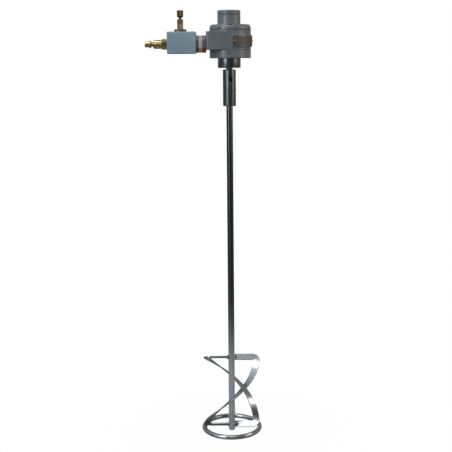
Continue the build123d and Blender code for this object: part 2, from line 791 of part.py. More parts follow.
def ribbon_step(radius, angle, level, turn, slope):
    """Place and directions on the ribbon.

    angle is measured round the axis from +X towards -Y, and slope is how steeply the bar falls there.
    turn is how far the bar has bent, edgewise, from running radially outwards to running down the helix.
    """
    radial = Vector(cos(angle), -sin(angle), 0)
    onward = Vector(-sin(angle), -cos(angle), 0) * cos(slope) + Vector(0, 0, -sin(slope))
    place = radial * radius + Vector(0, 0, level)
    return place, radial * sin(turn) - onward * cos(turn), radial * cos(turn) + onward * sin(turn)


def top_corner(slope):
    """Steps from the straight top crossbar round the edgewise bend, up to where the helix starts."""
    bend_start = bar_centre_radius - bar_bend_radius
    steps = []
    for index in range(lead_sections):
        radius = bend_start - lead_length * (1 - index / lead_sections)
        steps.append(ribbon_step(radius, 0, top_bar_height, 0, slope))
    for index in range(bend_sections):
        turn = pi / 2 * index / bend_sections
        onward = bar_bend_radius * (1 - cos(turn))
        radius = bend_start + bar_bend_radius * sin(turn)
        angle = onward * cos(slope) / bar_centre_radius
        steps.append(ribbon_step(radius, angle, top_bar_height - onward * sin(slope), turn, slope))
    return steps


def helix_run(start_slope, end_slope):
    """Steps down the helix between the two corners, easing from one slope to the other."""
    start_angle = bar_bend_radius * cos(start_slope) / bar_centre_radius
    end_angle = pi - bar_bend_radius * cos(end_slope) / bar_centre_radius
    start_level = top_bar_height - bar_bend_radius * sin(start_slope)
    end_level = bottom_bar_height + bar_bend_radius * sin(end_slope)
    run = (end_angle - start_angle) * bar_centre_radius
    start_rate = -run * tan(start_slope)
    end_rate = -run * tan(end_slope)
    fall = end_level - start_level
    steps = []
    for index in range(helix_sections):
        t = index / (helix_sections - 1)
        level = start_level + fall * t * t * (3 - 2 * t)
        level += start_rate * t * (1 - t) * (1 - t) - end_rate * t * t * (1 - t)
        rate = 6 * fall * t * (1 - t) + start_rate * (1 - t) * (1 - 3 * t) - end_rate * t * (2 - 3 * t)
        angle = start_angle + (end_angle - start_angle) * t
        steps.append(ribbon_step(bar_centre_radius, angle, level, pi / 2, atan2(-rate, run)))
    return steps


def half_turn(vector):
    """Half a turn about the front-to-back axis, which carries one end of a ribbon to the other."""
    return Vector(-vector.X, vector.Y, -vector.Z)


def bottom_corner(slope):
    middle = Vector(0, 0, top_bar_height + bottom_bar_height)
    return [(half_turn(place) + middle, half_turn(radial), half_turn(along) * -1)
            for place, radial, along in reversed(top_corner(slope))]


def crossbar(corner_step):
    """Straight bar from the shaft axis to the start of a corner."""
    place, radial, along = corner_step
    outward = Vector(place.X, 0, 0).normalized()
    root = Vector(0, 0, place.Z)
    return extrude(bar_section(root, radial, outward), abs(place.X), dir=tuple(outward))


def ribbon(start_slope, end_slope):
    """Top crossbar to the right, down past the front, bottom crossbar from the left."""
    upper = top_corner(start_slope)
    lower = bottom_corner(end_slope)
    strip = loft([bar_section(*step) for step in upper + helix_run(start_slope, end_slope) + lower])
    strip = strip + crossbar(upper[0]) + crossbar(lower[-1])
    strip -= rod(shaft_radius, mixer_shaft_bottom, mixer_shaft_top)
    return strip - base_ring()


def front_ribbon():
    return ribbon(helix_slope, helix_slope)


def rear_ribbon():
    """Turned half round, and bent by hand: flatter at its top and steeper at its bottom."""
    return Rot(0, 0, 180) * ribbon(radians(rear_start_slope), radians(rear_end_slope))


def base_ring():
    return Pos(0, 0, ring_height) * Torus(ring_radius, ring_bar_diameter / 2)


def shaft_welds():
    """Fillet beads above and below each crossbar where it meets the shaft."""
    beads = []
    bars = front_ribbon() + rear_ribbon()
    post = rod(shaft_radius, mixer_shaft_bottom, mixer_shaft_top)
    for level in (top_bar_height, bottom_bar_height):
        for side in (-1, 1):
            bead = Pos(side * (shaft_radius + shaft_weld_reach), 0, level) * Sphere(shaft_weld_size)
            bead = bead - post - bars
            beads.extend(bead.solids())
    return Compound(beads)


def ring_welds():
    """Beads between the ring and the two ribbon corners that stand on it."""
    beads = []
    reach = ring_radius - ring_weld_inset
    bars = front_ribbon() + rear_ribbon()
    for side in (-1, 1):
        bead = Pos(side * reach, side * ring_weld_back, ring_height + ring_weld_rise) * Sphere(ring_weld_size)
        bead = bead - base_ring() - bars
        beads.extend(bead.solids())
    return Compound(beads)


# ---- union --------------------------------------------------------------------------------------
def union_piece(hex_start, hex_end, spigot_start, spigot_end, nose_start, nose_end):
    """Hexagon with a threaded spigot on one side and a plain nose inside the nut on the other."""
    piece = arm_hex(union_hex, hex_start, hex_end, union_chamfer)
    piece += arm_rod(port_diameter / 2, spigot_start, spigot_end)
    piece += arm_rod(port_diameter / 2, nose_start, nose_end)
    start = min(hex_start, spigot_start, nose_start) - cut_margin
    end = max(hex_end, spigot_end, nose_end) + cut_margin
    return piece - arm_rod(union_bore / 2, start, end)


def union_tail():
    hex_start = union_start - union_tail_length
    middle = hex_start - union_nut_length / 2
    return union_piece(hex_start, union_start, union_start, union_start + port_depth, middle, hex_start)


def union_body():
    hex_end = block_end + union_body_length
    middle = hex_end + union_nut_length / 2
    return union_piece(block_end, hex_end, block_end - port_depth, block_end, hex_end, middle)


def union_nut():
    start = block_end + union_body_length
    end = start + union_nut_length
    nut = arm_hex(union_hex, start, end, union_chamfer)
    return nut - arm_rod(port_diameter / 2, start - cut_margin, end + cut_margin)


# ---- speed valve --------------------------------------------------------------------------------
def valve_rod(radius, bottom, top):
    return rod(radius, bottom, top, valve_x, -port_offset)


def valve_tube(outer_radius, inner_radius, bottom, top):
    return tube(outer_radius, inner_radius, bottom, top, valve_x, -port_offset)


def valve_turned(points):
    return Pos(valve_x, -port_offset, 0) * turned(points)


def valve_block():
    block = Box(block_length, block_depth, block_height)
    block = fillet(block.edges(), block_rounding)
    block = Pos((block_start + block_end) / 2, -port_offset, block_centre_height) * block
    block -= arm_rod(port_diameter / 2, block_end - port_depth, block_end + cut_margin)
    block -= arm_rod(plug_thread_diameter / 2, block_start - cut_margin, block_start + plug_thread_length)
    block -= arm_rod(block_bore / 2, block_start, block_end)
    block -= valve_rod(plunger_hole_radius, needle_pocket_bottom, block_top + cut_margin)
    block -= valve_rod(bonnet_thread_diameter / 2, bonnet_bottom, block_top + cut_margin)
    return block


def valve_collar():
    inner = bonnet_thread_diameter / 2
    edge = (collar_diameter - collar_top_diameter) / 2
    return valve_turned([
        (inner, block_top), (collar_diameter / 2, block_top), (collar_diameter / 2, collar_top - edge),
        (collar_top_diameter / 2, collar_top), (inner, collar_top)])


def valve_bonnet():
    bonnet = upright_hex(bonnet_hex, collar_top, bonnet_top, bonnet_chamfer, valve_x, -port_offset)
    bonnet += valve_rod(bonnet_thread_diameter / 2, bonnet_bottom, collar_top)
    bonnet -= valve_rod(stem_hole_radius, bonnet_bottom - cut_margin, bonnet_top + cut_margin)
    return bonnet - valve_rod(packing_diameter / 2, packing_bottom(), bonnet_top + cut_margin)


def packing_bottom():
    return bonnet_top - gland_depth - packing_height


def stem_packing():
    return valve_tube(packing_diameter / 2, stem_hole_radius, packing_bottom(), packing_bottom() + packing_height)


def packing_nut():
    nut = upright_hex(packing_nut_hex, bonnet_top, packing_nut_top, packing_nut_chamfer,
                      valve_x, -port_offset)
    nut += valve_rod(packing_diameter / 2, bonnet_top - gland_depth, bonnet_top)
    bottom = bonnet_top - gland_depth - cut_margin
    return nut - valve_rod(stem_hole_radius, bottom, packing_nut_top + cut_margin)


def stem_ring_height():
    return (plunger_top + needle_tip + needle_tip_length) / 2


def needle_stem():
    stem = valve_turned([
        (0, needle_tip), (needle_tip_diameter / 2, needle_tip),
        (plunger_diameter / 2, needle_tip + needle_tip_length), (plunger_diameter / 2, plunger_top),
        (stem_diameter / 2, plunger_top), (stem_diameter / 2, stem_top), (0, stem_top)])
    half_width = stem_ring_section / 2 + face_clearance
    floor = plunger_hole_radius - seat_clearance - stem_ring_section - running_clearance
    stem -= valve_tube(plunger_hole_radius + cut_margin, floor,
                       stem_ring_height() - half_width, stem_ring_height() + half_width)
    return stem - valve_rod(knob_screw_diameter / 2, knob_screw_bottom(), stem_top + cut_margin)


def stem_o_ring():
    section = stem_ring_section / 2
    radius = plunger_hole_radius - seat_clearance - section
    return Pos(valve_x, -port_offset, stem_ring_height()) * Torus(radius, section)


def knob_screw_seat():
    return knob_top - knob_screw_head_height


def knob_screw_bottom():
    return stem_top - knob_screw_length


def valve_knob():
    knob = valve_rod(knob_diameter / 2, knob_bottom, knob_top)
    rims = knob.edges().filter_by(GeomType.CIRCLE).sort_by(Axis.Z)
    knob = fillet(rims[0], knob_shoulder)
    knob = chamfer(knob.edges().filter_by(GeomType.CIRCLE).sort_by(Axis.Z)[-1], knob_edge)
    knob -= valve_rod(stem_diameter / 2, knob_bottom - cut_margin, stem_top)
    knob -= valve_rod(knob_screw_diameter / 2, stem_top - cut_margin, knob_top + cut_margin)
    head = knob_screw_head_diameter / 2 + seat_clearance
    return knob - valve_rod(head, knob_screw_seat(), knob_top + cut_margin)


def knob_screw():
    screw = valve_rod(knob_screw_diameter / 2, knob_screw_bottom(), knob_screw_seat())
    screw += valve_rod(knob_screw_head_diameter / 2, knob_screw_seat(), knob_top - seat_clearance)
    slot = Pos(valve_x, -port_offset, knob_top) * Box(
        knob_screw_head_diameter + cut_margin, knob_slot_width, knob_screw_head_height)
    return screw - slot


# ---- air plug -----------------------------------------------------------------------------------
def air_plug():
    hex_end = block_start
    barrel_end = hex_end - plug_hex_length
    neck_end = barrel_end - plug_barrel_length
    collar_end = neck_end - plug_neck_length
    nose_end = collar_end - plug_collar_length
    tip = nose_end - plug_nose_length
    barrel = plug_barrel_diameter / 2
    neck = plug_neck_diameter / 2
    collar = plug_collar_diameter / 2
    nose = plug_nose_diameter / 2
    profile = Polyline(
        (tip, 0), (tip, nose - plug_edge), (tip + plug_edge, nose), (nose_end, nose),
        (nose_end + plug_collar_flank, collar), (collar_end - plug_collar_flank, collar),
        (collar_end, neck), (neck_end, neck),
        (neck_end, barrel - plug_barrel_edge), (neck_end + plug_barrel_edge, barrel), (barrel_end, barrel),
        (barrel_end, 0), close=True)
    plug = Pos(0, -port_offset, port_height) * revolve(make_face(profile), Axis.X)
    plug += arm_hex(plug_hex, barrel_end, hex_end, union_chamfer)
    plug += arm_rod(plug_thread_diameter / 2, hex_end, hex_end + plug_thread_length)
    return plug - arm_rod(plug_bore / 2, tip - cut_margin, hex_end + plug_thread_length + cut_margin)


PARTS = {
    "motor_body": motor_body,
    "upper_end_plate": upper_end_plate,
    "lower_end_plate": lower_end_plate,
    "upper_gasket": lambda: gasket(body_top),
    "lower_gasket": lambda: gasket(lower_plate_thickness),
    "end_cap": end_cap,
    "cap_o_ring": cap_o_ring,
    "cap_screws": cap_screws,
    "upper_plate_screws": upper_plate_screws,
    "lower_plate_screws": lower_plate_screws,
    "dowel_pins": dowel_pins,
    "nameplate": nameplate,
    "nameplate_rivets": nameplate_rivets,
    "upper_bearing_outer_race": lambda: outer_race(upper_bearing_seat),
    "lower_bearing_outer_race": lambda: outer_race(lower_bearing_seat - bearing_width),
    "upper_bearing_inner_race": lambda: inner_race(upper_bearing_seat),
    "lower_bearing_inner_race": lambda: inner_race(lower_bearing_seat - bearing_width),
    "upper_bearing_balls": lambda: bearing_balls(upper_bearing_seat),
    "lower_bearing_balls": lambda: bearing_balls(lower_bearing_seat - bearing_width),
    "upper_bearing_cage": lambda: bearing_cage(upper_bearing_seat),
    "lower_bearing_cage": lambda: bearing_cage(lower_bearing_seat - bearing_width),
    "bearing_spring": bearing_spring,
    "bearing_retaining_ring": bearing_retaining_ring,
    "shaft_seal": shaft_seal,
    "rotor": rotor,
    "rotor_vanes": rotor_vanes,
    "rotor_key": rotor_key,
    "motor_shaft": motor_shaft,
    "shaft_retaining_rings": shaft_retaining_rings,
    "coupling": coupling,
    "coupling_screws": coupling_screws,
    "mixer_shaft": mixer_shaft,
    "front_ribbon": front_ribbon,
    "rear_ribbon": rear_ribbon,
    "base_ring": base_ring,
    "shaft_welds": shaft_welds,
    "ring_welds": ring_welds,
    "union_tail": union_tail,
    "union_nut": union_nut,
    "union_body": union_body,
    "valve_block": valve_block,
    "valve_collar": valve_collar,
    "valve_bonnet": valve_bonnet,
    "packing_nut": packing_nut,
    "stem_packing": stem_packing,
    "needle_stem": needle_stem,
    "stem_o_ring": stem_o_ring,
    "valve_knob": valve_knob,
    "knob_screw": knob_screw,
    "air_plug": air_plug,
    "plate_plug": plate_plug,
}

if __name__ == "__main__":
    os.makedirs("parts", exist_ok=True)
    for name, make in PARTS.items():
        export_step(make(), f"parts/{name}.step")
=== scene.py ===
import json
from math import atan2, cos, pi, radians, sin, tan

import bpy
from bpy.props import FloatProperty, FloatVectorProperty, IntProperty, PointerProperty
from mathutils import Matrix, Vector


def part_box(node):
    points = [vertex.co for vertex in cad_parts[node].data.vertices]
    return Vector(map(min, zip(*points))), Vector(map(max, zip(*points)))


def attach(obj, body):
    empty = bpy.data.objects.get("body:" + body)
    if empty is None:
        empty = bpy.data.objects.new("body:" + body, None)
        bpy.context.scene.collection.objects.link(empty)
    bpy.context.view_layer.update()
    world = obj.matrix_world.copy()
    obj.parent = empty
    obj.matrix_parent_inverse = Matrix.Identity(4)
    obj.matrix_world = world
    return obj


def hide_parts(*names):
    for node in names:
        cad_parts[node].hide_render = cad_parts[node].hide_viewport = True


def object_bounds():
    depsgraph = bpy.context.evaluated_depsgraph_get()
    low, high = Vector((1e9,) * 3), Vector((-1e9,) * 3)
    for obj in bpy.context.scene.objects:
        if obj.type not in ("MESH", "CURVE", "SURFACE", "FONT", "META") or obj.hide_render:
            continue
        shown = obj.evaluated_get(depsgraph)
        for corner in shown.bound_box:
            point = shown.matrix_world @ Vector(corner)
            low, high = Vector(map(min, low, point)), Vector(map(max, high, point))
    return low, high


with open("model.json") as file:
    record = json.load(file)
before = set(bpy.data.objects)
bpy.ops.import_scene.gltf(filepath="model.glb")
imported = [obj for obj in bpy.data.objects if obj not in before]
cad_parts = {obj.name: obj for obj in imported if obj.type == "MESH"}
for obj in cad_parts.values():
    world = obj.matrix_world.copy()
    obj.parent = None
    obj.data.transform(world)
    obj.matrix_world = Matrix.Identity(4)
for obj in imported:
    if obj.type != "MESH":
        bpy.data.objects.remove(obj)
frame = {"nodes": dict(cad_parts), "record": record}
CAD_BOX = [list(corner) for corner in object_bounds()]

bl_info = {
    "name": "Tank agitator",
    "version": (1, 0, 0),
    "blender": (4, 5, 0),
    "location": "View3D > Sidebar > Agitator",
    "description": "Dresses an air-driven tank agitator and lights it on a pale floor",
    "category": "Object",
}

MM = 0.001
SMOOTH_ANGLE = 35               # degrees; edges sharper than this stay sharp
WHOLE_FACE_ANGLE = 0.6          # degrees; flatter neighbours are one face
MERGE_DISTANCE = 0.002 * MM
PILOT_TOP = -0.6 * MM           # the lower plate's neck is machined below this
OUTER_FACE_BAND = 0.15 * MM     # how near the nameplate's outermost point its outer face lies

SHAFT_SHEEN_BELOW = -0.66       # the long shaft's colour is painted bright below this level, a painted reflection
SHAFT_DARK_ABOVE = -0.46

BEAD_RINGS = 14
BEAD_SIDES = 20
BEAD_DIP = 0.93                 # radius between the scales, as a share
BEAD_REACH = 6.6 * MM           # crossbar's middle, from the welds' end
# Beads at the shaft: side, end of the head, then in mm out from the shaft, depth, drop and radius.
SHAFT_BEADS = (
    (1, "bottom", 1.6, 0.0, 0.0, 6.2),
    (1, "top", 1.4, -0.8, 0.6, 4.6),
    (-1, "bottom", 0.4, 0.0, 0.0, 4.4),
    (-1, "top", 0.4, 0.0, 0.0, 4.4))
RING_BEAD_INSET = 3.0 * MM
RING_BEAD_DEPTH = 3.0 * MM
RING_BEAD_RADIUS = 2.6 * MM

KNOB_SHOULDER = 3.4 * MM        # height of the rounded lower end
KNOB_EDGE = 0.8 * MM            # chamfer round the top
KNOB_RECESS = 1.6 * MM          # depth of the screw's recess
KNOB_SCREW_GAP = 0.05 * MM
FLUTE_RUN_OUT = 0.3 * MM        # slope at each end of a flute
FLUTE_FROM_EDGE = 1.0 * MM
FLUTE_REACH = 0.1 * MM          # slack when a flute's points are picked out

FLOOR_SIZE = 12.0
FLOOR_COVER = 0.82              # share of plain white near the object, so that its shadow shows
FAR_FLOOR = 0.16                # painted shade: the floor's colour darkens to this share far from the object, seen in reflections
# Strengths of what metal mirrors: the room, the backdrop, and a window, a warm wall and the ceiling.
ROOM, BACKDROP, WINDOW, WARM_WALL, CEILING = 0.09, 0.22, 0.95, 0.28, 0.5
AMBIENT = 0.34
COOL, NEUTRAL, WARM = (0.84, 0.95, 1.0), (1.0, 1.0, 1.0), (1.0, 0.88, 0.74)
# Soft boxes: name, place, target, power in watts, size across and up, colour.
LIGHTS = (
    ("key_light", (-1.3, -1.6, 0.5), (0, 0, -0.3), 12, (0.6, 1.6), (0.76, 0.92, 1.0)),
    ("top_light", (0.05, -1.5, 1.5), (0, 0, -0.5), 5.6, (0.9, 0.7), NEUTRAL),
    ("left_light", (-0.42, -0.26, 1.18), (0, 0, -0.5), 3.0, (0.36, 0.36), NEUTRAL),
    ("right_light", (1.48, -0.04, 0.82), (0, 0, -0.7), 3.0, (0.4, 0.4), (1.0, 0.98, 0.95)),
    ("fill_light", (1.6, -0.7, 0.3), (0, 0, 0), 4, (0.8, 1.0), (1.0, 0.84, 0.68)))
CAMERA_SENSOR = 36.0
CAMERA_LENS = 72.08
CAMERA_PLACE = (-0.009, -1.786, 0.0)
CAMERA_FALL = 10.5              # degrees below level
CAMERA_ROLL = -0.5

NODES = frame["nodes"]
BODIES = frame["record"]["behaviour"]["bodies"]
BODY_OF = {node: body for body, nodes in BODIES.items() for node in nodes}


def tint(red, green, blue):
    """Linear colour from everyday 0 to 255 screen values."""
    def linear(value):
        share = value / 255
        return share / 12.92 if share <= 0.04045 else ((share + 0.055) / 1.055) ** 2.4
    return (linear(red), linear(green), linear(blue))


CAGE_TARNISH = tint(110, 84, 44)
BONNET_TARNISH = tint(84, 62, 36)
KNOB_TARNISH = tint(70, 54, 34)
PLUG_TARNISH = tint(104, 76, 30)
HEAT_TINT = tint(112, 90, 66)


# ---- sizes and colours a user would change ----------------------------------------------------------
def colour_property(name, description, default):
    """Colour that a user can change."""
    return FloatVectorProperty(
        name=name, description=description, default=default, size=3, min=0.0, max=1.0, subtype="COLOR")


def length_property(name, description, default):
    """Length that a user can change."""
    return FloatProperty(
        name=name, description=description, default=default, min=0.0, unit="LENGTH", precision=5)


def angle_property(name, description, degrees):
    """Angle that a user can change, given in degrees."""
    return FloatProperty(name=name, description=description, default=radians(degrees), subtype="ANGLE")


class AGITATOR_PG_colours(bpy.types.PropertyGroup):
    enamel: colour_property("Motor enamel", "Grey enamel of the motor castings", tint(111, 117, 123))
    block_enamel: colour_property("Block enamel", "Blue-grey enamel of the valve block", tint(143, 164, 179))
    steel: colour_property("Shaft steel", "Drawn steel of the shafts", tint(104, 108, 110))
    bright_steel: colour_property("Head steel", "Bright plated steel of the mixing head", tint(186, 192, 194))
    coupling_steel: colour_property("Coupling steel", "Turned steel of the coupling", tint(112, 118, 118))
    brass: colour_property("Valve brass", "Tarnished brass of the bonnet", tint(148, 124, 90))
    knob_brass: colour_property("Knob brass", "Handled brass of the knob and packing nut", tint(114, 98, 72))
    bright_brass: colour_property("Plug brass", "Bright brass of the air plug", tint(222, 196, 134))
    # The union's ends are bronze; their upper part is painted pale grey, a painted reflection of light from
    # above.
    bronze: colour_property("Union bronze", "Copper-brown bronze of the union's underside", tint(176, 96, 60))
    painted_sheen: colour_property("Union plating", "Dull plating of the union's ends", tint(176, 174, 170))
    nickel: colour_property("Union band", "Nickel plate of the union's middle band", tint(214, 212, 206))
    collar: colour_property("Valve collar", "Dull seat under the bonnet", tint(124, 112, 96))
    pilot: colour_property("Pilot neck", "Machined neck under the lower plate", tint(126, 130, 136))
    weld: colour_property("Weld beads", "Weld metal of the mixing head", tint(136, 138, 136))
    rivets: colour_property("Rivets", "Bright rivets of the nameplate", tint(205, 203, 198))
    screws: colour_property("Screws", "Black oxide of the socket screws", tint(58, 58, 60))
    gaskets: colour_property("Gaskets", "Gasket paper", tint(52, 48, 44))
    rubber: colour_property("Rubber", "Seals and O-rings", tint(30, 30, 31))
    ground_steel: colour_property("Ground steel", "Bearing races, balls, pins and key", tint(178, 180, 184))
    spring_steel: colour_property("Spring steel", "Wave spring and retaining rings", tint(96, 97, 100))
    cage_brass: colour_property("Cage brass", "Pressed bearing cages", tint(190, 160, 98))
    rotor_iron: colour_property("Rotor iron", "Machined iron of the rotor", tint(112, 112, 114))
    vanes: colour_property("Vanes", "Fabric laminate of the rotor vanes", tint(96, 62, 36))
    plate_field: colour_property("Nameplate field", "Etched field of the bare nameplate", tint(94, 86, 80))
    plate_edge: colour_property("Nameplate frame", "Raised frame of the nameplate", tint(124, 118, 110))
    floor: colour_property("Floor", "Pale studio floor", tint(245, 245, 245))


class AGITATOR_PG_sizes(bpy.types.PropertyGroup):
    casting_edge: length_property("Casting edges", "Rounding of the castings' edges", 0.5 * MM)
    fitting_edge: length_property("Fitting edges", "Rounding of the turned fittings' edges", 0.25 * MM)
    bar_width: length_property("Bar width", "Width of the ribbons' flat bar", 13.5 * MM)
    bar_thickness: length_property("Bar thickness", "Thickness of the ribbons' flat bar", 2.8 * MM)
    bar_edge: length_property("Ribbon edges", "Rounding of the ribbons' long edges", 0.55 * MM)
    bend_radius: length_property("Corner bends", "Centreline radius of the edgewise corner bends", 8.5 * MM)
    head_height: length_property("Head height", "From the bottom crossbar to the top one", 146.3 * MM)
    front_slope: angle_property("Front slope", "Fall of the front ribbon", 42.26)
    rear_top_slope: angle_property("Rear top slope", "Fall of the rear ribbon at its top bend", 29.0)
    rear_bottom_slope: angle_property("Rear bottom slope", "Fall of the rear ribbon at its bottom bend", 51.0)
    frame_width: length_property("Nameplate frame", "Width of the nameplate's raised frame", 1.3 * MM)
    field_depth: length_property("Nameplate field", "Depth of the nameplate's field", 0.15 * MM)
    rivet_dome: length_property("Rivet dome", "Rounding of the rivets' heads", 0.5 * MM)
    knurl_depth: length_property("Knurl depth", "Depth of the knob's flutes", 0.45 * MM)
    knurl_count: IntProperty(
        name="Knurl flutes", description="Flutes round the knob", default=26, min=12, max=60)


class AGITATOR_PG_settings(bpy.types.PropertyGroup):
    colours: PointerProperty(type=AGITATOR_PG_colours, name="Colours", description="Colours of the finishes")
    sizes: PointerProperty(type=AGITATOR_PG_sizes, name="Sizes", description="Sizes of the fine detail")


# ---- shader maths -----------------------------------------------------------------------------------
class Value:
    """A number socket of one node tree, with everyday arithmetic."""

    def __init__(self, shader, socket):
        self.shader = shader
        self.socket = socket

    def math(self, operation, *terms):
        """One Math node of these terms."""
        node = self.shader.node("Math", {"operation": operation}, dict(enumerate(terms)))
        return Value(self.shader, node.outputs[0])

    def __add__(self, other):
        return self.math("ADD", self, other)

    def __radd__(self, other):
        return self.math("ADD", other, self)

    def __sub__(self, other):
        return self.math("SUBTRACT", self, other)

    def __rsub__(self, other):
        return self.math("SUBTRACT", other, self)

    def __mul__(self, other):
        return self.math("MULTIPLY", self, other)

    def __rmul__(self, other):
        return self.math("MULTIPLY", other, self)

    def between(self, low, high):
        """0 below low, 1 above high, smooth between."""
        sockets = {"Value": self, "From Min": low, "From Max": high}
        node = self.shader.node("MapRange", {"interpolation_type": "SMOOTHSTEP"}, sockets)
        return Value(self.shader, node.outputs["Result"])


class Nodes:
    """One emptied node tree."""

    def __init__(self, tree):
        self.tree = tree
        self.tree.nodes.clear()

    def node(self, kind, settings, sockets):
        """Any node: its settings first, then the values or links of its sockets."""
        made = self.tree.nodes.new("ShaderNode" + kind)
        for key, setting in settings.items():
            setattr(made, key, setting)
        for key, given in sockets.items():
            given = getattr(given, "socket", given)
            if isinstance(given, bpy.types.NodeSocket):
                self.tree.links.new(given, made.inputs[key])
            else:
                made.inputs[key].default_value = given
        return made

    def mix(self, factor, first, second):
        """Blend of two colours."""
        sockets = {0: factor, 6: self.solid(first), 7: self.solid(second)}
        return self.node("Mix", {"data_type": "RGBA"}, sockets).outputs[2]

    def solid(self, colour):
        """A colour as a socket takes it."""
        return colour if isinstance(colour, bpy.types.NodeSocket) else (*tuple(colour)[:3], 1.0)


class Shader(Nodes):
    """One material with a Principled surface."""

    def __init__(self, name, **fixed):
        self.material = bpy.data.materials.new(name)
        self.material.use_nodes = True
        super().__init__(self.material.node_tree)
        self.surface = self.node("BsdfPrincipled", {}, fixed)
        self.output = self.node("OutputMaterial", {}, {"Surface": self.surface.outputs[0]})
        self.place = self.node("TexCoord", {}, {}).outputs["Object"]

    def part(self, axis):
        """One coordinate of the place, in metres."""
        return Value(self, self.node("SeparateXYZ", {}, {0: self.place}).outputs[axis])

    def noise(self, scale, stretch=(1, 1, 1), detail=2.0, roughness=0.5):
        """Soft noise from 0 to 1; scale counts features to a metre."""
        mapping = self.node("Mapping", {}, {"Vector": self.place, "Scale": stretch})
        sockets = {"Vector": mapping.outputs[0], "Scale": scale, "Detail": detail, "Roughness": roughness}
        return Value(self, self.node("TexNoise", {}, sockets).outputs[0])

    def paint(self, colour=None, roughness=None, metallic=None):
        """Feeds the Principled sockets that change over the surface."""
        for socket, value in (("Base Color", colour), ("Roughness", roughness), ("Metallic", metallic)):
            if value is not None:
                self.tree.links.new(getattr(value, "socket", value), self.surface.inputs[socket])

    def relief(self, height, depth):
        """Bump of that depth in metres."""
        bump = self.node("Bump", {}, {"Height": height, "Distance": depth, "Strength": 1.0})
        self.tree.links.new(bump.outputs[0], self.surface.inputs["Normal"])


def shade(colour, share):
    """Colour made lighter or darker."""
    return tuple(min(1.0, value * share) for value in tuple(colour)[:3])


# ---- finishes ---------------------------------------------------------------------------------------
def enamel(name, colour, roughness):
    """Semi-gloss machine enamel over a casting: broad tone, orange peel, dust."""
    shader = Shader(name, **{"Metallic": 0.0, "Coat Roughness": 0.2, "Coat Weight": 0.35})
    broad = shader.noise(28, detail=3.0)
    specks = shader.noise(2600, detail=1.0).between(0.66, 0.74)
    base = shader.mix(broad.between(0.3, 0.7), shade(colour, 0.88), shade(colour, 1.12))
    shader.paint(colour=shader.mix(specks * 0.35, base, shade(colour, 1.7)),
                 roughness=roughness + shader.noise(140, detail=3.0) * 0.14)
    shader.relief(shader.noise(700, detail=2.0) + shader.noise(150) * 0.6, 0.05 * MM)
    return shader.material


def lined_metal(name, colour, roughness, lines, grain=1.0, stain=0.25, metallic=1.0):
    """Metal with fine tool or drawing lines; lines is the stretch of the noise along X, Y and Z."""
    shader = Shader(name, **{"Metallic": metallic})
    fine = shader.noise(1.0, stretch=lines, detail=4.0, roughness=0.65)
    cloud = shader.noise(45, detail=4.0, roughness=0.6)
    spots = shader.noise(420, detail=3.0, roughness=0.7).between(0.6, 0.8)
    base = shader.mix(fine, shade(colour, 0.82), shade(colour, 1.14))
    base = shader.mix(cloud.between(0.45, 0.8) * stain, base, shade(colour, 0.45))
    shader.paint(colour=shader.mix(spots * (0.4 * stain), base, shade(colour, 0.3)),
                 roughness=roughness + fine * 0.12 + cloud * 0.1 - 0.1)
    shader.relief(fine, 0.008 * MM * grain)
    return shader.material


def tarnished(name, colour, dark, roughness, lines, amount):
    """Turned copper alloy, bright where handled and brown where it has aged."""
    shader = Shader(name, **{"Metallic": 1.0})
    fine = shader.noise(1.0, stretch=lines, detail=3.0)
    age = shader.noise(90, detail=5.0, roughness=0.62)
    spots = shader.noise(600, detail=3.0).between(0.55, 0.75)
    base = shader.mix(fine, shade(colour, 0.85), shade(colour, 1.12))
    base = shader.mix(age.between(0.62 - amount, 0.8 - amount * 0.5) * 0.8, base, dark)
    shader.paint(colour=shader.mix(spots * 0.15, base, shade(dark, 0.6)),
                 roughness=roughness + age * 0.16 - 0.08 + fine * 0.04)
    shader.relief(fine * 0.5 + age * 0.5, 0.005 * MM)
    return shader.material


def bronze_with_painted_sheen(name, painted_sheen, bare, level, depth, lines):
    """Bronze, its own colour (bare) below a level and painted pale grey above it, a painted reflection of
    light from above; depth is how gradually one blends into the other.
    """
    shader = Shader(name, **{"Metallic": 0.8})
    fine = shader.noise(1.0, stretch=lines, detail=3.0)
    cloud = shader.noise(160, detail=4.0, roughness=0.6)
    # painted reflection: above the level the colour turns pale grey, as if lit from above; below it the
    # bronze's own colour shows
    below_sheen = 1 - (shader.part("Z") + (cloud - 0.5) * depth).between(level - depth, level + depth)
    base = shader.mix(below_sheen, painted_sheen, bare)
    base = shader.mix(fine * 0.3, base, shade(bare, 0.5))
    shader.paint(colour=shader.mix(cloud.between(0.5, 0.8) * 0.35, base, shade(bare, 0.6)),
                 roughness=0.16 + cloud * 0.12 + fine * 0.05)
    shader.relief(fine, 0.008 * MM)
    return shader.material


def shaft_with_painted_sheen(name, colour, bright, lines, start, end):
    """Drawn bar, darker above and painted bright towards the mixing head, a painted reflection."""
    shader = Shader(name, **{"Metallic": 1.0})
    fine = shader.noise(1.0, stretch=lines, detail=4.0, roughness=0.65)
    cloud = shader.noise(30, stretch=(1, 1, 0.4), detail=4.0)
    spots = shader.noise(500, detail=2.0).between(0.62, 0.78)
    # painted reflection: the colour blends from the steel colour above to a bright one below, and the bar is
    # made rougher and less metallic there
    sheen_below = 1 - shader.part("Z").between(start, end)
    base = shader.mix(sheen_below, colour, bright)
    base = shader.mix(fine * 0.25, base, shade(colour, 0.55))
    shader.paint(colour=shader.mix(spots * 0.2 + cloud.between(0.55, 0.85) * 0.15, base, shade(colour, 0.4)),
                 roughness=0.2 + cloud * 0.1 + fine * 0.06 + sheen_below * 0.1, metallic=1 - sheen_below * 0.6)
    shader.relief(fine, 0.008 * MM)
    return shader.material


def soft_black(name, colour, roughness):
    """Rubber or blackened parts with a faint mottle."""
    shader = Shader(name, **{"Metallic": 0.0})
    mottle = shader.noise(900, detail=3.0)
    shader.paint(colour=shader.mix(mottle, shade(colour, 0.7), shade(colour, 1.4)),
                 roughness=roughness + mottle * 0.15)
    shader.relief(mottle, 0.03 * MM)
    return shader.material


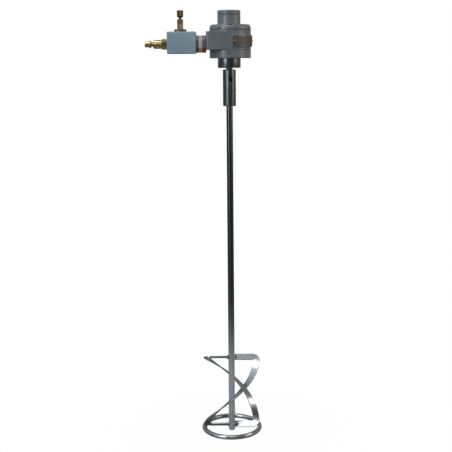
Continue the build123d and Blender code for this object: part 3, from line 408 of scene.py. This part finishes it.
def weld_metal(name, colour):
    """Weld bead: dull steel with brown heat tint and a scaly skin."""
    shader = Shader(name, **{"Metallic": 0.9})
    scale = shader.noise(850, detail=4.0, roughness=0.7)
    heat = shader.noise(130, detail=3.0).between(0.4, 0.75)
    base = shader.mix(scale, shade(colour, 0.75), shade(colour, 1.2))
    shader.paint(colour=shader.mix(heat * 0.4, base, HEAT_TINT), roughness=0.3 + scale * 0.2)
    shader.relief(scale, 0.12 * MM)
    return shader.material


def layered(name, colour):
    """Fabric laminate of the rotor vanes."""
    shader = Shader(name, **{"Metallic": 0.0})
    layers = shader.noise(1.0, stretch=(2500, 2500, 60), detail=2.0)
    shader.paint(colour=shader.mix(layers, shade(colour, 0.7), shade(colour, 1.3)),
                 roughness=0.5 + layers * 0.1)
    shader.relief(layers, 0.02 * MM)
    return shader.material


TURNED_UP = (12, 12, 2600)      # rings round an upright axis
TURNED_SIDE = (2600, 12, 12)    # rings round the arm
DRAWN_UP = (2400, 2400, 18)     # lines along an upright bar


# ---- shaping ----------------------------------------------------------------------------------------
def only(piece):
    """Selects one object and makes it active."""
    bpy.ops.object.select_all(action="DESELECT")
    piece.select_set(True)
    bpy.context.view_layer.objects.active = piece


def edit(select="DESELECT"):
    """Edit mode in faces, with none or all of them selected."""
    bpy.ops.object.mode_set(mode="EDIT")
    bpy.ops.mesh.select_mode(type="FACE")
    bpy.ops.mesh.select_all(action=select)


def done():
    """Back to object mode."""
    bpy.ops.object.mode_set(mode="OBJECT")


def select_faces(piece, wanted):
    """Selects the faces whose centre and normal pass a test, from edit mode."""
    done()
    for face in piece.data.polygons:
        face.select = bool(wanted(face.center, face.normal))
    bpy.ops.object.mode_set(mode="EDIT")


def select_points(piece, wanted):
    """Selects the vertices whose place passes a test, and leaves the piece in edit mode."""
    only(piece)
    edit()
    bpy.ops.mesh.select_mode(type="VERT")
    done()
    for vertex in piece.data.vertices:
        vertex.select = bool(wanted(vertex.co))
    bpy.ops.object.mode_set(mode="EDIT")


def dress(piece, *materials):
    """Gives a piece these materials and no others."""
    piece.data.materials.clear()
    for material in materials:
        piece.data.materials.append(material)


def copied(node, name):
    """Own copy of a CAD node's shape, its triangles joined into whole faces."""
    only(NODES[node])
    bpy.ops.object.duplicate()
    piece = bpy.context.view_layer.objects.active
    piece.name = name
    piece.data.name = name
    piece.parent = None
    for key in list(piece.keys()):
        del piece[key]
    edit("SELECT")
    bpy.ops.mesh.remove_doubles(threshold=MERGE_DISTANCE)
    bpy.ops.mesh.dissolve_limited(angle_limit=radians(WHOLE_FACE_ANGLE))
    bpy.ops.mesh.normals_make_consistent(inside=False)
    done()
    return piece


def smooth(piece, angle=SMOOTH_ANGLE):
    """Smooth shading across all but the sharp edges."""
    only(piece)
    bpy.ops.object.shade_smooth_by_angle(angle=radians(angle))


def round_edges(piece, width, angle=32, segments=2):
    """Bevels the edges sharper than an angle, never cut short where they crowd."""
    only(piece)
    bevel = piece.modifiers.new("edges", "BEVEL")
    bevel.width = width
    bevel.segments = segments
    bevel.limit_method = "ANGLE"
    bevel.angle_limit = radians(angle)
    bevel.use_clamp_overlap = False
    bevel.harden_normals = True
    bpy.ops.object.modifier_apply(modifier=bevel.name)


def stands_for(piece, node):
    """Hides a CAD node and puts the piece in that node's body."""
    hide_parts(node)
    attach(piece, BODY_OF[node])


def rounded(node, name, width, *materials):
    """A CAD node's shape with rounded edges, in its place."""
    piece = copied(node, name)
    smooth(piece)
    round_edges(piece, width)
    dress(piece, *materials)
    stands_for(piece, node)
    return piece


def turn_selected(rotation, centre):
    """Turns what is selected about a point, by a rotation matrix."""
    for axis, angle in zip("XYZ", rotation.to_euler("XYZ")):
        bpy.ops.transform.rotate(value=-angle, orient_axis=axis, orient_type="GLOBAL", center_override=centre)


def begin(name, add, **where):
    """A primitive at its place, in edit mode with all of it selected."""
    bpy.ops.object.select_all(action="DESELECT")
    add(**where)
    piece = bpy.context.view_layer.objects.active
    piece.name = name
    piece.data.name = name
    bpy.ops.object.transform_apply(location=True, rotation=True, scale=True)
    edit("SELECT")
    return piece


def closed(piece):
    """Ends edit mode with every face turned outwards."""
    bpy.ops.mesh.select_all(action="SELECT")
    bpy.ops.mesh.normals_make_consistent(inside=False)
    done()


def even_normals(piece, angle):
    """Smooth shading that keeps the broad faces flat."""
    smooth(piece, angle)
    weighted = piece.modifiers.new("even", "WEIGHTED_NORMAL")
    weighted.keep_sharp = True
    bpy.ops.object.modifier_apply(modifier=weighted.name)


def swept_bar(name, steps, sizes):
    """Flat bar with rounded edges drawn through the steps, each a place and the section's axes."""
    piece = begin(name, bpy.ops.mesh.primitive_plane_add, size=1.0)
    bpy.ops.transform.resize(value=(sizes.bar_width, sizes.bar_thickness, 1.0), center_override=(0, 0, 0))
    bpy.ops.mesh.bevel(offset=sizes.bar_edge, segments=3, affect="VERTICES")
    bpy.ops.mesh.select_all(action="SELECT")
    place, axes = steps[0]
    bpy.ops.transform.translate(value=place)
    turn_selected(axes, place)
    for next_place, next_axes in steps[1:]:
        bpy.ops.mesh.extrude_region_move(TRANSFORM_OT_translate={"value": next_place - place})
        turn_selected(next_axes @ axes.inverted(), next_place)
        place, axes = next_place, next_axes
    closed(piece)
    even_normals(piece, 40)
    return piece


def lathed(name, centre, sides, rings):
    """Closed turned shape from (height, radius) rings on an upright axis."""
    (height, radius), *others = rings
    start = (centre[0], centre[1], height)
    piece = begin(name, bpy.ops.mesh.primitive_circle_add, vertices=sides, radius=radius,
                  fill_type="NGON", location=start)
    for next_height, next_radius in others:
        bpy.ops.mesh.extrude_region_move(TRANSFORM_OT_translate={"value": (0, 0, next_height - height)})
        share = next_radius / radius
        bpy.ops.transform.resize(
            value=(share, share, 1.0), center_override=(centre[0], centre[1], next_height))
        height, radius = next_height, next_radius
    closed(piece)
    return piece


def arc_rings(low, high, radius, count):
    """Rings of a rounded end, from the axis at low out to the full radius at high."""
    steps = [pi / 2 * (index + 1) / count for index in range(count)]
    return [(high - (high - low) * cos(step), radius * sin(step)) for step in steps]


def joined(name, pieces):
    """One piece from several."""
    bpy.ops.object.select_all(action="DESELECT")
    for piece in pieces:
        piece.select_set(True)
    bpy.context.view_layer.objects.active = pieces[0]
    bpy.ops.object.join()
    pieces[0].name = name
    pieces[0].data.name = name
    return pieces[0]


# ---- the ribbons' line ------------------------------------------------------------------------------
BEND_STEPS = 10
HELIX_STEPS = 48


def bar_step(radius, angle, level, bent, slope):
    """Place and section axes; angle runs from +X towards -Y, bent is how far the bar has turned edgewise."""
    radial = Vector((cos(angle), -sin(angle), 0))
    onward = Vector((-sin(angle) * cos(slope), -cos(angle) * cos(slope), -sin(slope)))
    width = radial * sin(bent) - onward * cos(bent)
    along = radial * cos(bent) + onward * sin(bent)
    return radial * radius + Vector((0, 0, level)), Matrix((width, along.cross(width), along)).transposed()


def top_corner(sizes, root, reach, level, slope):
    """From inside the shaft along the crossbar and round the edgewise bend."""
    steps = [bar_step(root, 0, level, 0, slope)]
    for index in range(BEND_STEPS):
        bent = pi / 2 * index / BEND_STEPS
        onward = sizes.bend_radius * (1 - cos(bent))
        radius = reach - sizes.bend_radius * (1 - sin(bent))
        steps.append(bar_step(radius, onward * cos(slope) / reach, level - onward * sin(slope), bent, slope))
    return steps


def helix_run(sizes, reach, top, bottom, start_slope, end_slope):
    """Down the helix between the corners, easing from one slope to the other."""
    start_angle = sizes.bend_radius * cos(start_slope) / reach
    end_angle = pi - sizes.bend_radius * cos(end_slope) / reach
    start_level = top - sizes.bend_radius * sin(start_slope)
    fall = bottom + sizes.bend_radius * sin(end_slope) - start_level
    run = (end_angle - start_angle) * reach
    start_rate, end_rate = -run * tan(start_slope), -run * tan(end_slope)
    steps = []
    for index in range(HELIX_STEPS + 1):
        t = index / HELIX_STEPS
        level = start_level + fall * t * t * (3 - 2 * t)
        level += start_rate * t * (1 - t) ** 2 - end_rate * t * t * (1 - t)
        rate = 6 * fall * t * (1 - t) + start_rate * (1 - t) * (1 - 3 * t) - end_rate * t * (2 - 3 * t)
        angle = start_angle + (end_angle - start_angle) * t
        steps.append(bar_step(reach, angle, level, pi / 2, atan2(-rate, run)))
    return steps


def ribbon_line(sizes, start_slope, end_slope, facing):
    """Whole line of one ribbon; facing is how far it is turned round the shaft."""
    low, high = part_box("front_ribbon")
    reach = -low[1] - sizes.bar_width / 2
    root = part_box("mixer_shaft")[1][0] - sizes.bar_thickness / 2
    centre = (low[2] + high[2]) / 2
    top, bottom = centre + sizes.head_height / 2, centre - sizes.head_height / 2
    over = Matrix.Rotation(pi, 3, "Y")
    lower = []
    for place, axes in reversed(top_corner(sizes, root, reach, top, end_slope)):
        width, along = over @ axes.col[0], -(over @ axes.col[2])
        section = Matrix((width, along.cross(width), along)).transposed()
        lower.append((over @ place + Vector((0, 0, 2 * centre)), section))
    steps = top_corner(sizes, root, reach, top, start_slope)
    steps += helix_run(sizes, reach, top, bottom, start_slope, end_slope) + lower
    round_shaft = Matrix.Rotation(facing, 3, "Z")
    return [(round_shaft @ place, round_shaft @ axes) for place, axes in steps]


def finish(material, *nodes):
    """Gives CAD nodes that stay their material."""
    for node in nodes:
        dress(NODES[node], material)


# ---- operators --------------------------------------------------------------------------------------
class AGITATOR_OT_castings(bpy.types.Operator):
    """Motor body, end plates and end cap in grey enamel, with rounded edges"""
    bl_idname = "agitator.castings"
    bl_label = "Motor castings"

    def execute(self, context):
        settings = context.scene.agitator
        grey = enamel("motor_enamel", settings.colours.enamel, 0.3)
        for node in ("motor_body", "upper_end_plate", "lower_end_plate", "end_cap"):
            piece = rounded(node, node + "_enamelled", settings.sizes.casting_edge, grey)
            if node == "lower_end_plate":
                dress(piece, grey, lined_metal("pilot_machined", settings.colours.pilot, 0.28, TURNED_UP))
                for face in piece.data.polygons:
                    face.material_index = 1 if face.center.z < PILOT_TOP else 0
        finish(grey, "plate_plug")
        return {"FINISHED"}


class AGITATOR_OT_nameplate(bpy.types.Operator):
    """Bare nameplate with a raised frame, and its domed rivets"""
    bl_idname = "agitator.nameplate"
    bl_label = "Nameplate"

    def execute(self, context):
        settings = context.scene.agitator
        edge = lined_metal("nameplate_frame", settings.colours.plate_edge, 0.38, TURNED_UP)
        field = soft_black("nameplate_field", settings.colours.plate_field, 0.42)
        plate = copied("nameplate", "nameplate_framed")
        low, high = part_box("lower_end_plate")
        axis = Vector(((low[0] + high[0]) / 2, 0))

        def from_axis(at):
            """Distance from the motor body's axis."""
            return (Vector(at[:2]) - axis).length

        outer = max(from_axis(vertex.co) for vertex in plate.data.vertices)
        only(plate)
        edit()
        select_faces(
            plate, lambda at, normal: abs(normal.z) < 0.3 and from_axis(at) > outer - OUTER_FACE_BAND)
        bpy.ops.mesh.inset(thickness=settings.sizes.frame_width, use_even_offset=True)
        bpy.ops.mesh.extrude_region_shrink_fatten(
            TRANSFORM_OT_shrink_fatten={"value": -settings.sizes.field_depth})
        done()
        dress(plate, edge, field)
        for face in plate.data.polygons:
            face.material_index = 1 if face.select else 0
        smooth(plate)
        stands_for(plate, "nameplate")
        rivets = copied("nameplate_rivets", "nameplate_rivets_domed")
        round_edges(rivets, settings.sizes.rivet_dome, angle=50, segments=4)
        smooth(rivets, angle=60)
        dress(rivets, lined_metal("rivet_metal", settings.colours.rivets, 0.25, (300, 300, 300)))
        stands_for(rivets, "nameplate_rivets")
        return {"FINISHED"}


class AGITATOR_OT_fasteners(bpy.types.Operator):
    """Screws, gaskets and seals of the motor"""
    bl_idname = "agitator.fasteners"
    bl_label = "Fasteners and gaskets"

    def execute(self, context):
        colours = context.scene.agitator.colours
        black = lined_metal("screw_black_oxide", colours.screws, 0.42, (900, 900, 900))
        finish(black, "cap_screws", "upper_plate_screws", "lower_plate_screws", "coupling_screws")
        finish(soft_black("gasket_paper", colours.gaskets, 0.7), "upper_gasket", "lower_gasket")
        finish(soft_black("seal_rubber", colours.rubber, 0.5),
               "cap_o_ring", "shaft_seal", "stem_packing", "stem_o_ring")
        return {"FINISHED"}


class AGITATOR_OT_motor_inside(bpy.types.Operator):
    """Rotor, vanes, key, bearings and rings inside the motor"""
    bl_idname = "agitator.motor_inside"
    bl_label = "Motor inside"

    def execute(self, context):
        colours = context.scene.agitator.colours
        ground = lined_metal("ground_steel", colours.ground_steel, 0.22, TURNED_UP)
        finish(ground, "dowel_pins", "rotor_key",
               "upper_bearing_outer_race", "upper_bearing_inner_race", "upper_bearing_balls",
               "lower_bearing_outer_race", "lower_bearing_inner_race", "lower_bearing_balls")
        finish(lined_metal("spring_steel", colours.spring_steel, 0.4, TURNED_UP),
               "bearing_spring", "bearing_retaining_ring", "shaft_retaining_rings")
        finish(tarnished("cage_brass", colours.cage_brass, CAGE_TARNISH, 0.3, TURNED_UP, 0.1),
               "upper_bearing_cage", "lower_bearing_cage")
        finish(lined_metal("rotor_iron", colours.rotor_iron, 0.38, TURNED_UP), "rotor")
        finish(layered("vane_laminate", colours.vanes), "rotor_vanes")
        return {"FINISHED"}


class AGITATOR_OT_shafts(bpy.types.Operator):
    """Coupling, motor shaft and long mixing shaft"""
    bl_idname = "agitator.shafts"
    bl_label = "Coupling and shafts"

    def execute(self, context):
        settings = context.scene.agitator
        colours = settings.colours
        rounded("coupling", "coupling_turned", settings.sizes.fitting_edge,
                lined_metal("coupling_steel", colours.coupling_steel, 0.32, TURNED_UP))
        # the bright colour is the painted reflection on the shaft's lower part
        shaft = shaft_with_painted_sheen("drawn_shaft", colours.steel, shade(colours.bright_steel, 1.25), DRAWN_UP,
                             SHAFT_SHEEN_BELOW, SHAFT_DARK_ABOVE)
        finish(shaft, "motor_shaft", "mixer_shaft")
        return {"FINISHED"}


class AGITATOR_OT_mixing_head(bpy.types.Operator):
    """Twin helical ribbons and the base ring, bright and with rounded bar edges"""
    bl_idname = "agitator.mixing_head"
    bl_label = "Mixing head"

    def execute(self, context):
        settings = context.scene.agitator
        sizes = settings.sizes
        bright = lined_metal(
            "head_steel", settings.colours.bright_steel, 0.2, (160, 160, 60), grain=0.6, stain=0.3)
        lines = {
            "front_ribbon": ribbon_line(sizes, sizes.front_slope, sizes.front_slope, 0.0),
            "rear_ribbon": ribbon_line(sizes, sizes.rear_top_slope, sizes.rear_bottom_slope, pi)}
        for node, steps in lines.items():
            piece = swept_bar(node + "_bar", steps, sizes)
            dress(piece, bright)
            stands_for(piece, node)
        finish(bright, "base_ring")
        return {"FINISHED"}


class AGITATOR_OT_welds(bpy.types.Operator):
    """Weld beads at the shaft and the ring"""
    bl_idname = "agitator.welds"
    bl_label = "Weld beads"

    def execute(self, context):
        metal = weld_metal("weld_bead", context.scene.agitator.colours.weld)
        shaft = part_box("mixer_shaft")[1][0]
        low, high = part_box("shaft_welds")
        levels = {"top": high[2] - BEAD_REACH, "bottom": low[2] + BEAD_REACH}
        self.weld("shaft_welds", metal, [
            (side * (shaft + out * MM), depth * MM, levels[end] - drop * MM, radius * MM)
            for side, end, out, depth, drop, radius in SHAFT_BEADS])
        low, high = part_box("ring_welds")
        level = (low[2] + high[2]) / 2
        self.weld("ring_welds", metal, [
            (high[0] - RING_BEAD_INSET, RING_BEAD_DEPTH, level, RING_BEAD_RADIUS),
            (low[0] + RING_BEAD_INSET, -RING_BEAD_DEPTH, level, RING_BEAD_RADIUS)])
        return {"FINISHED"}

    def weld(self, node, metal, spots):
        """Beads of overlapping scales, each a place and a radius."""
        beads = []
        for across, depth, level, radius in spots:
            rings = []
            for index in range(1, BEAD_RINGS):
                step = pi * index / BEAD_RINGS
                scale = 1.0 if index % 2 else BEAD_DIP
                rings.append((level - radius * cos(step), radius * sin(step) * scale))
            beads.append(lathed(node + "_bead", (across, depth), BEAD_SIDES, rings))
        piece = joined(node + "_beads", beads)
        smooth(piece, angle=60)
        dress(piece, metal)
        stands_for(piece, node)


class AGITATOR_OT_union(bpy.types.Operator):
    """Hexagonal union between the motor and the valve block"""
    bl_idname = "agitator.union"
    bl_label = "Union"

    def execute(self, context):
        settings = context.scene.agitator
        low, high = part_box("union_nut")
        # the painted reflection on the union ends here, a fifth of the nut's height below its middle
        lower_edge = (low[2] + high[2]) / 2 - (high[2] - low[2]) / 5
        bronze = bronze_with_painted_sheen("union_bronze", settings.colours.painted_sheen, settings.colours.bronze,
                              lower_edge, 0.6 * MM, TURNED_SIDE)
        nickel = lined_metal(
            "union_nickel", settings.colours.nickel, 0.16, TURNED_SIDE, stain=0.15, metallic=0.35)
        edge = settings.sizes.fitting_edge
        rounded("union_tail", "union_tail_turned", edge, bronze)
        rounded("union_nut", "union_nut_turned", edge, nickel)
        rounded("union_body", "union_body_turned", edge, bronze)
        return {"FINISHED"}


class AGITATOR_OT_valve(bpy.types.Operator):
    """Valve block, collar, bonnet, packing nut and needle"""
    bl_idname = "agitator.valve"
    bl_label = "Needle valve"

    def execute(self, context):
        settings = context.scene.agitator
        blue = enamel("block_enamel", settings.colours.block_enamel, 0.28)
        brass = tarnished("valve_brass", settings.colours.brass, BONNET_TARNISH, 0.28, TURNED_UP, 0.12)
        rounded("valve_block", "valve_block_enamelled", settings.sizes.casting_edge, blue)
        collar = lined_metal("collar_metal", settings.colours.collar, 0.45, TURNED_UP)
        rounded("valve_collar", "valve_collar_turned", settings.sizes.fitting_edge, collar)
        rounded("valve_bonnet", "valve_bonnet_turned", settings.sizes.fitting_edge, brass)
        handled = tarnished("knob_brass", settings.colours.knob_brass, KNOB_TARNISH, 0.3, TURNED_UP, 0.12)
        rounded("packing_nut", "packing_nut_turned", settings.sizes.fitting_edge, handled)
        finish(handled, "needle_stem", "knob_screw")
        self.knob(settings.sizes, handled)
        return {"FINISHED"}

    def knob(self, sizes, brass):
        """Knurled knob: rounded below, fluted round the middle, recessed on top for its screw."""
        low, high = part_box("valve_knob")
        centre = ((low[0] + high[0]) / 2, (low[1] + high[1]) / 2)
        radius = (high[0] - low[0]) / 2
        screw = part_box("knob_screw")
        recess = (screw[1][0] - screw[0][0]) / 2 + KNOB_SCREW_GAP
        shoulder, edge = low[2] + KNOB_SHOULDER, high[2] - KNOB_EDGE
        flutes_from, flutes_to = shoulder + 2 * FLUTE_RUN_OUT, edge - FLUTE_FROM_EDGE
        rings = arc_rings(low[2], shoulder, radius, 6)
        rings += [(shoulder + FLUTE_RUN_OUT, radius), (flutes_from, radius), (flutes_to, radius),
                  (flutes_to + FLUTE_RUN_OUT, radius), (edge, radius), (high[2], radius - KNOB_EDGE),
                  (high[2], recess), (high[2] - KNOB_RECESS, recess)]
        piece = lathed("valve_knob_knurled", centre, 2 * sizes.knurl_count, rings)

        def in_flute(at):
            """Every other column of points, along the flutes' height."""
            count = round(atan2(at.y - centre[1], at.x - centre[0]) * sizes.knurl_count / pi)
            return flutes_from - FLUTE_REACH < at.z < flutes_to + FLUTE_REACH and count % 2 == 0

        select_points(piece, in_flute)
        share = 1 - sizes.knurl_depth / radius
        bpy.ops.transform.resize(value=(share, share, 1.0), center_override=(*centre, low[2]))
        done()
        smooth(piece, angle=28)
        dress(piece, brass)
        stands_for(piece, "valve_knob")


class AGITATOR_OT_air_plug(bpy.types.Operator):
    """Quick-connect air plug at the arm's end"""
    bl_idname = "agitator.air_plug"
    bl_label = "Air plug"

    def execute(self, context):
        settings = context.scene.agitator
        brass = tarnished("plug_brass", settings.colours.bright_brass, PLUG_TARNISH, 0.14, TURNED_SIDE, 0.04)
        rounded("air_plug", "air_plug_turned", settings.sizes.fitting_edge, brass)
        return {"FINISHED"}


class AGITATOR_OT_stage(bpy.types.Operator):
    """Pale floor, studio lights, world and camera"""
    bl_idname = "agitator.stage"
    bl_label = "Studio"

    def execute(self, context):
        self.floor(context, CAD_BOX[0][2])
        self.world(context)
        for light in LIGHTS:
            self.light(*light)
        self.camera(context)
        context.scene.view_settings.view_transform = "Standard"
        return {"FINISHED"}

    def floor(self, context, level):
        """Pale floor that the camera sees as white but for the object's shadow."""
        bpy.ops.object.select_all(action="DESELECT")
        bpy.ops.mesh.primitive_plane_add(size=FLOOR_SIZE, location=(0, 0, level))
        floor = context.view_layer.objects.active
        floor.name = "studio_floor"
        bpy.ops.object.transform_apply(location=True, rotation=True, scale=True)
        shader = Shader("floor_pale", **{"Roughness": 0.7})
        colour = context.scene.agitator.colours.floor
        length = shader.node("VectorMath", {"operation": "LENGTH"}, {0: shader.place})
        distance = Value(shader, length.outputs["Value"])
        grain = shader.noise(60, detail=2.0)
        near = shader.mix(grain, shade(colour, 0.98), colour)
        # painted shade: the floor's colour darkens with distance from the object, standing in for light
        # falling off
        shader.paint(colour=shader.mix(distance.between(0.15, 1.1), near, shade(colour, FAR_FLOOR)))
        cover = FLOOR_COVER + distance.between(0.12, 0.9) * (1 - FLOOR_COVER)
        white = shader.node("Emission", {}, {"Color": (1, 1, 1, 1), "Strength": 1.0})
        seen = Value(shader, shader.node("LightPath", {}, {}).outputs["Is Camera Ray"])
        sockets = {0: seen * cover, 1: shader.surface.outputs[0], 2: white.outputs[0]}
        blend = shader.node("MixShader", {}, sockets)
        shader.tree.links.new(blend.outputs[0], shader.output.inputs["Surface"])
        dress(floor, shader.material)

    def world(self, context):
        """Plain white past the object; metal mirrors a backdrop, a dimmer room, a window and a warm wall."""
        world = bpy.data.worlds.new("studio_world")
        context.scene.world = world
        world.use_nodes = True
        shader = Nodes(world.node_tree)
        direction = shader.node("TexCoord", {}, {}).outputs["Generated"]
        parts = shader.node("SeparateXYZ", {}, {0: direction})
        across, back = Value(shader, parts.outputs["X"]), Value(shader, parts.outputs["Y"])
        behind = back.between(-0.35, 0.7)
        aside = 0 - across
        window = aside.between(0.3, 0.5) * (1 - aside.between(0.78, 0.94)) * (1 - behind)
        warm = across.between(0.7, 0.95) * (1 - behind)
        above = Value(shader, parts.outputs["Z"]).between(0.86, 0.99)
        room = ROOM + BACKDROP * behind + WINDOW * window + WARM_WALL * warm + CEILING * above
        path = shader.node("LightPath", {}, {})
        camera = Value(shader, path.outputs["Is Camera Ray"])
        through = Value(shader, path.outputs["Is Transmission Ray"])
        sharp = Value(shader, path.outputs["Is Glossy Ray"]) + through
        glossy = sharp * room
        ambient = (1 - sharp) * AMBIENT
        strength = camera + (1 - camera) * (glossy + ambient)
        cool_to_warm = shader.mix(across.between(-0.3, 0.6), COOL, WARM)
        colour = shader.mix(sharp, NEUTRAL, cool_to_warm)
        background = shader.node("Background", {}, {"Color": colour, "Strength": strength})
        shader.node("OutputWorld", {}, {"Surface": background.outputs[0]})

    def light(self, name, place, target, power, size, colour):
        """One soft box."""
        bpy.ops.object.select_all(action="DESELECT")
        bpy.ops.object.light_add(type="AREA", location=place)
        lamp = bpy.context.view_layer.objects.active
        lamp.name = name
        lamp.data.energy = power
        lamp.data.shape = "RECTANGLE"
        lamp.data.size, lamp.data.size_y = size
        lamp.data.color = colour
        direction = Vector(target) - Vector(place)
        lamp.rotation_euler = direction.to_track_quat("-Z", "Y").to_euler()

    def camera(self, context):
        """Camera in front, looking slightly down."""
        bpy.ops.object.select_all(action="DESELECT")
        bpy.ops.object.camera_add(location=(0, 0, 0))
        camera = context.view_layer.objects.active
        camera.name = "studio_camera"
        camera.data.sensor_width = CAMERA_SENSOR
        camera.data.lens = CAMERA_LENS
        camera.matrix_world = (
            Matrix.Translation(CAMERA_PLACE)
            @ Matrix.Rotation(radians(90 - CAMERA_FALL), 4, "X")
            @ Matrix.Rotation(radians(CAMERA_ROLL), 4, "Z"))
        context.scene.camera = camera


OPERATORS = (
    AGITATOR_OT_castings, AGITATOR_OT_nameplate, AGITATOR_OT_fasteners, AGITATOR_OT_motor_inside,
    AGITATOR_OT_shafts, AGITATOR_OT_mixing_head, AGITATOR_OT_welds, AGITATOR_OT_union, AGITATOR_OT_valve,
    AGITATOR_OT_air_plug, AGITATOR_OT_stage)


class AGITATOR_PT_panel(bpy.types.Panel):
    bl_idname = "AGITATOR_PT_panel"
    bl_label = "Tank agitator"
    bl_space_type = "VIEW_3D"
    bl_region_type = "UI"
    bl_category = "Agitator"

    def draw(self, context):
        for operator in OPERATORS:
            self.layout.operator(operator.bl_idname)
        settings = context.scene.agitator
        for group in (settings.colours, settings.sizes):
            for key in group.__annotations__:
                self.layout.prop(group, key)


CLASSES = (AGITATOR_PG_colours, AGITATOR_PG_sizes, AGITATOR_PG_settings, *OPERATORS, AGITATOR_PT_panel)


def register():
    for item in CLASSES:
        bpy.utils.register_class(item)
    bpy.types.Scene.agitator = PointerProperty(type=AGITATOR_PG_settings)


def unregister():
    del bpy.types.Scene.agitator
    for item in reversed(CLASSES):
        bpy.utils.unregister_class(item)


def main():
    """Dresses and lights the object."""
    register()
    for operator in OPERATORS:
        group, name = operator.bl_idname.split(".")
        getattr(getattr(bpy.ops, group), name)()


if __name__ == "__main__":
    main()
